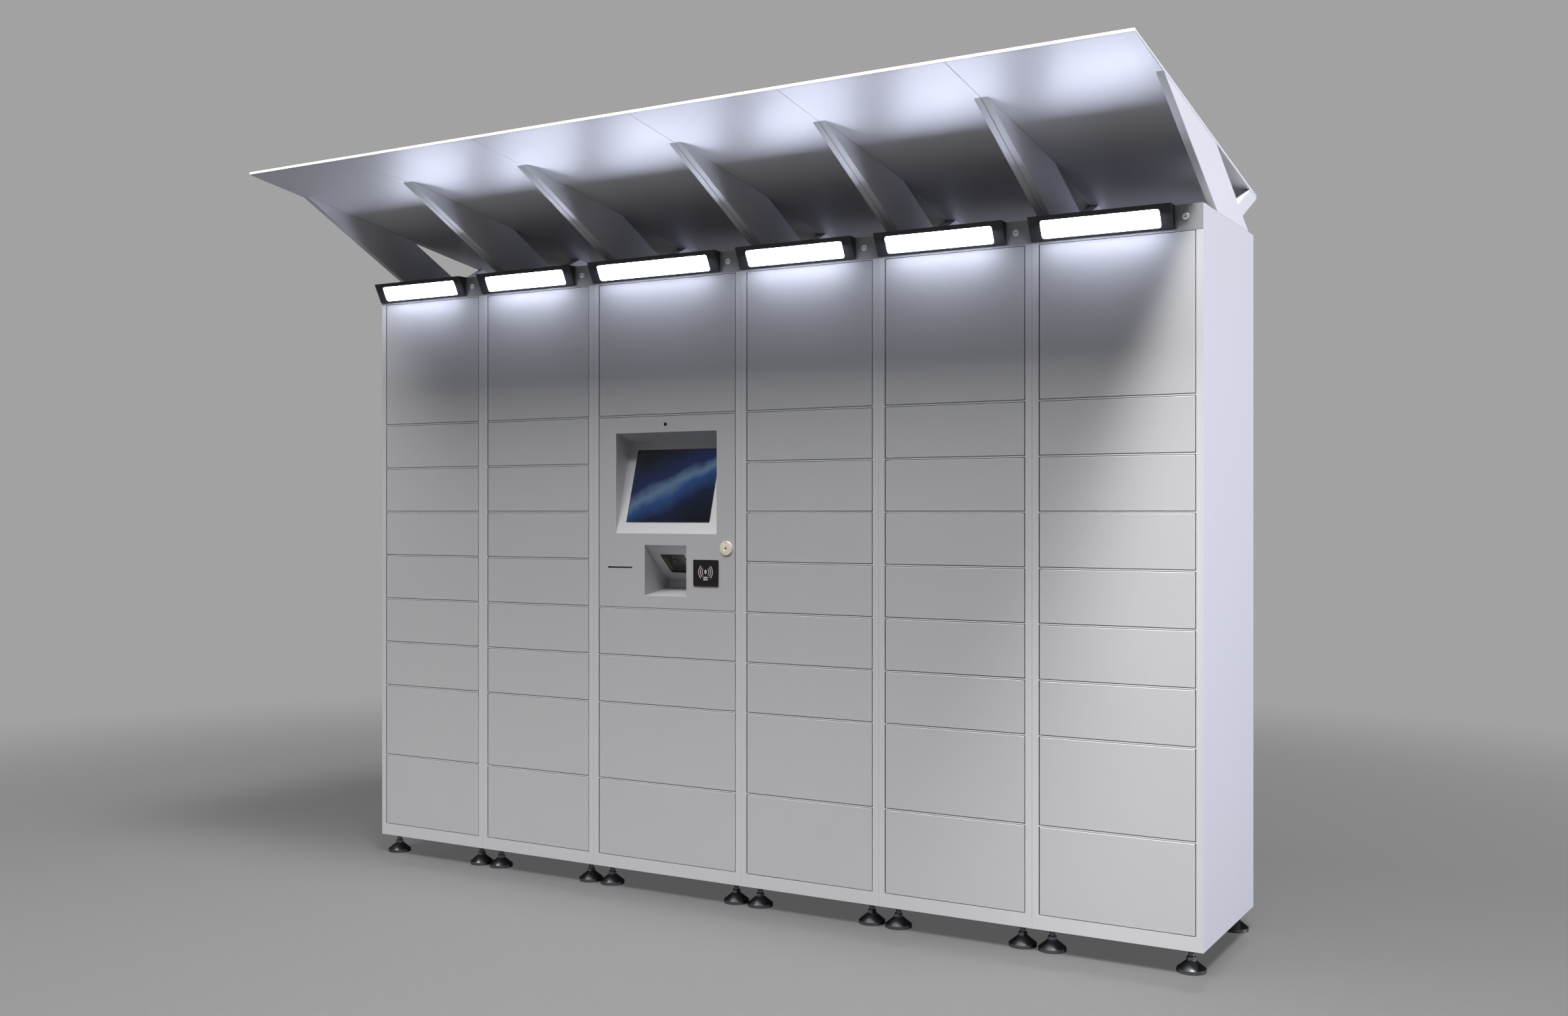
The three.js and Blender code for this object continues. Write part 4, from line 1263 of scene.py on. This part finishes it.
def make_world():
    world = bpy.data.worlds.new("studio")
    world.use_nodes = True
    tree = world.node_tree
    tree.nodes.clear()
    # The camera sees an even grey. The light that the pieces get is dimmer, most so from behind.
    from_front, from_behind = 0.42, 0.08
    seen = add(tree, "ShaderNodeLightPath").outputs["Is Camera Ray"]
    towards = add(tree, "ShaderNodeTexCoord").outputs["Generated"]
    depth = add(tree, "ShaderNodeSeparateXYZ", {"Vector": towards}).outputs["Y"]
    ambient = add(
        tree, "ShaderNodeMapRange",
        {"Value": depth, "From Min": -0.6, "From Max": 0.5, "To Min": from_front, "To Max": from_behind},
        interpolation_type="SMOOTHSTEP",
    )
    strength = add(tree, "ShaderNodeMix", {0: seen, 2: ambient.outputs[0], 3: 1.0})
    sky = add(
        tree, "ShaderNodeBackground", {"Color": colours().background, "Strength": strength.outputs[0]}
    )
    add(tree, "ShaderNodeOutputWorld", {"Surface": sky.outputs[0]})
    bpy.context.scene.world = world
    bpy.context.scene.view_settings.view_transform = "Standard"


# ------------------------------------------------------------------ operators


class LOCKER_OT_stage(bpy.types.Operator):
    """Camera, floor, background and studio lights"""

    bl_idname = "locker.stage"
    bl_label = "Stage"

    def execute(self, context):
        make_camera()
        make_world()
        make_floor()
        make_light_source("overhead_softbox", (2.4, 2.4), 3300, (3.6, -2.5, 10.2), (1.2, 0, 0.9))
        make_light_source("overhead_fill", (5.0, 2.0), 640, (-0.4, -1.95, 5.2), (-0.4, 0, 0.8))
        make_light_source(
            "right_softbox", (4.0, 4.0), 280, (6.5, 2.4, 0.6), (1.425, 0.5, 0.7), "#dfe3ff"
        )
        make_lamps()
        return {"FINISHED"}


class LOCKER_OT_cabinets(bpy.types.Operator):
    """Finish of the cabinets, with their feet, pins, latches, painted-shade strips in the door gaps and
    grommets
    """

    bl_idname = "locker.cabinets"
    bl_label = "Cabinets"

    def execute(self, context):
        for cabinet in CABINETS:
            dress(cabinet, carcass_steel())
        make_feet()
        make_pins()
        make_latch_screws()
        make_latch_jaws()
        make_gap_shade_liners()
        make_grommets()
        return {"FINISHED"}


class LOCKER_OT_doors(bpy.types.Operator):
    """A folded tray, a strike and rubber buttons for each door"""

    bl_idname = "locker.doors"
    bl_label = "Doors"

    def execute(self, context):
        for name in DOORS:
            low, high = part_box(name)
            bm = bmesh.new()
            tray(bm, low, high)
            mesh = cut(bm, pin_holes(low, high))
            settle(name + "_tray", mesh, door_steel(), name, [name])
            bm = bmesh.new()
            strike(bm, low, high)
            piece(name + "_strike", bm, chrome(), name)
            bm = bmesh.new()
            bumper(bm, low, high)
            piece(name + "_buttons", bm, rubber(), name)
        return {"FINISHED"}


class LOCKER_OT_lights(bpy.types.Operator):
    """Header strips and light housings, both painted darker as shade, lenses, and cam locks"""

    bl_idname = "locker.lights"
    bl_label = "Lights and headers"

    def execute(self, context):
        for cabinet in CABINETS:
            make_header(cabinet)
            make_light(cabinet)
        return {"FINISHED"}


class LOCKER_OT_canopy(bpy.types.Operator):
    """Roof sheets and brackets"""

    bl_idname = "locker.canopy"
    bl_label = "Canopy"

    def execute(self, context):
        make_roof()
        make_brackets()
        return {"FINISHED"}


class LOCKER_OT_service_panel(bpy.types.Operator):
    """Screen, scanner, card reader, lock, camera and receipt slot"""

    bl_idname = "locker.service_panel"
    bl_label = "Service panel"

    def execute(self, context):
        dress(PANEL, door_steel())
        make_display()
        make_scanner()
        make_reader()
        make_service_lock()
        make_camera_window()
        make_receipt_slot()
        return {"FINISHED"}


OPERATORS = (
    LOCKER_OT_stage,
    LOCKER_OT_cabinets,
    LOCKER_OT_doors,
    LOCKER_OT_lights,
    LOCKER_OT_canopy,
    LOCKER_OT_service_panel,
)


class LOCKER_PT_sidebar(bpy.types.Panel):
    """Lists the operators that build the locker bank"""

    bl_idname = "LOCKER_PT_sidebar"
    bl_label = "Parcel locker"
    bl_space_type = "VIEW_3D"
    bl_region_type = "UI"
    bl_category = "Parcel locker"

    def draw(self, context):
        for operator in OPERATORS:
            self.layout.operator(operator.bl_idname)


CLASSES = (LockerSizes, LockerColours, LockerStage, *OPERATORS, LOCKER_PT_sidebar)


def register():
    for cls in CLASSES:
        bpy.utils.register_class(cls)
    bpy.types.Scene.locker_sizes = bpy.props.PointerProperty(type=LockerSizes)
    bpy.types.Scene.locker_colours = bpy.props.PointerProperty(type=LockerColours)
    bpy.types.Scene.locker_stage = bpy.props.PointerProperty(type=LockerStage)


def unregister():
    del bpy.types.Scene.locker_stage
    del bpy.types.Scene.locker_colours
    del bpy.types.Scene.locker_sizes
    for cls in reversed(CLASSES):
        bpy.utils.unregister_class(cls)


def main():
    register()
    bpy.ops.locker.stage()
    bpy.ops.locker.cabinets()
    bpy.ops.locker.doors()
    bpy.ops.locker.lights()
    bpy.ops.locker.canopy()
    bpy.ops.locker.service_panel()


if __name__ == "__main__":
    main()
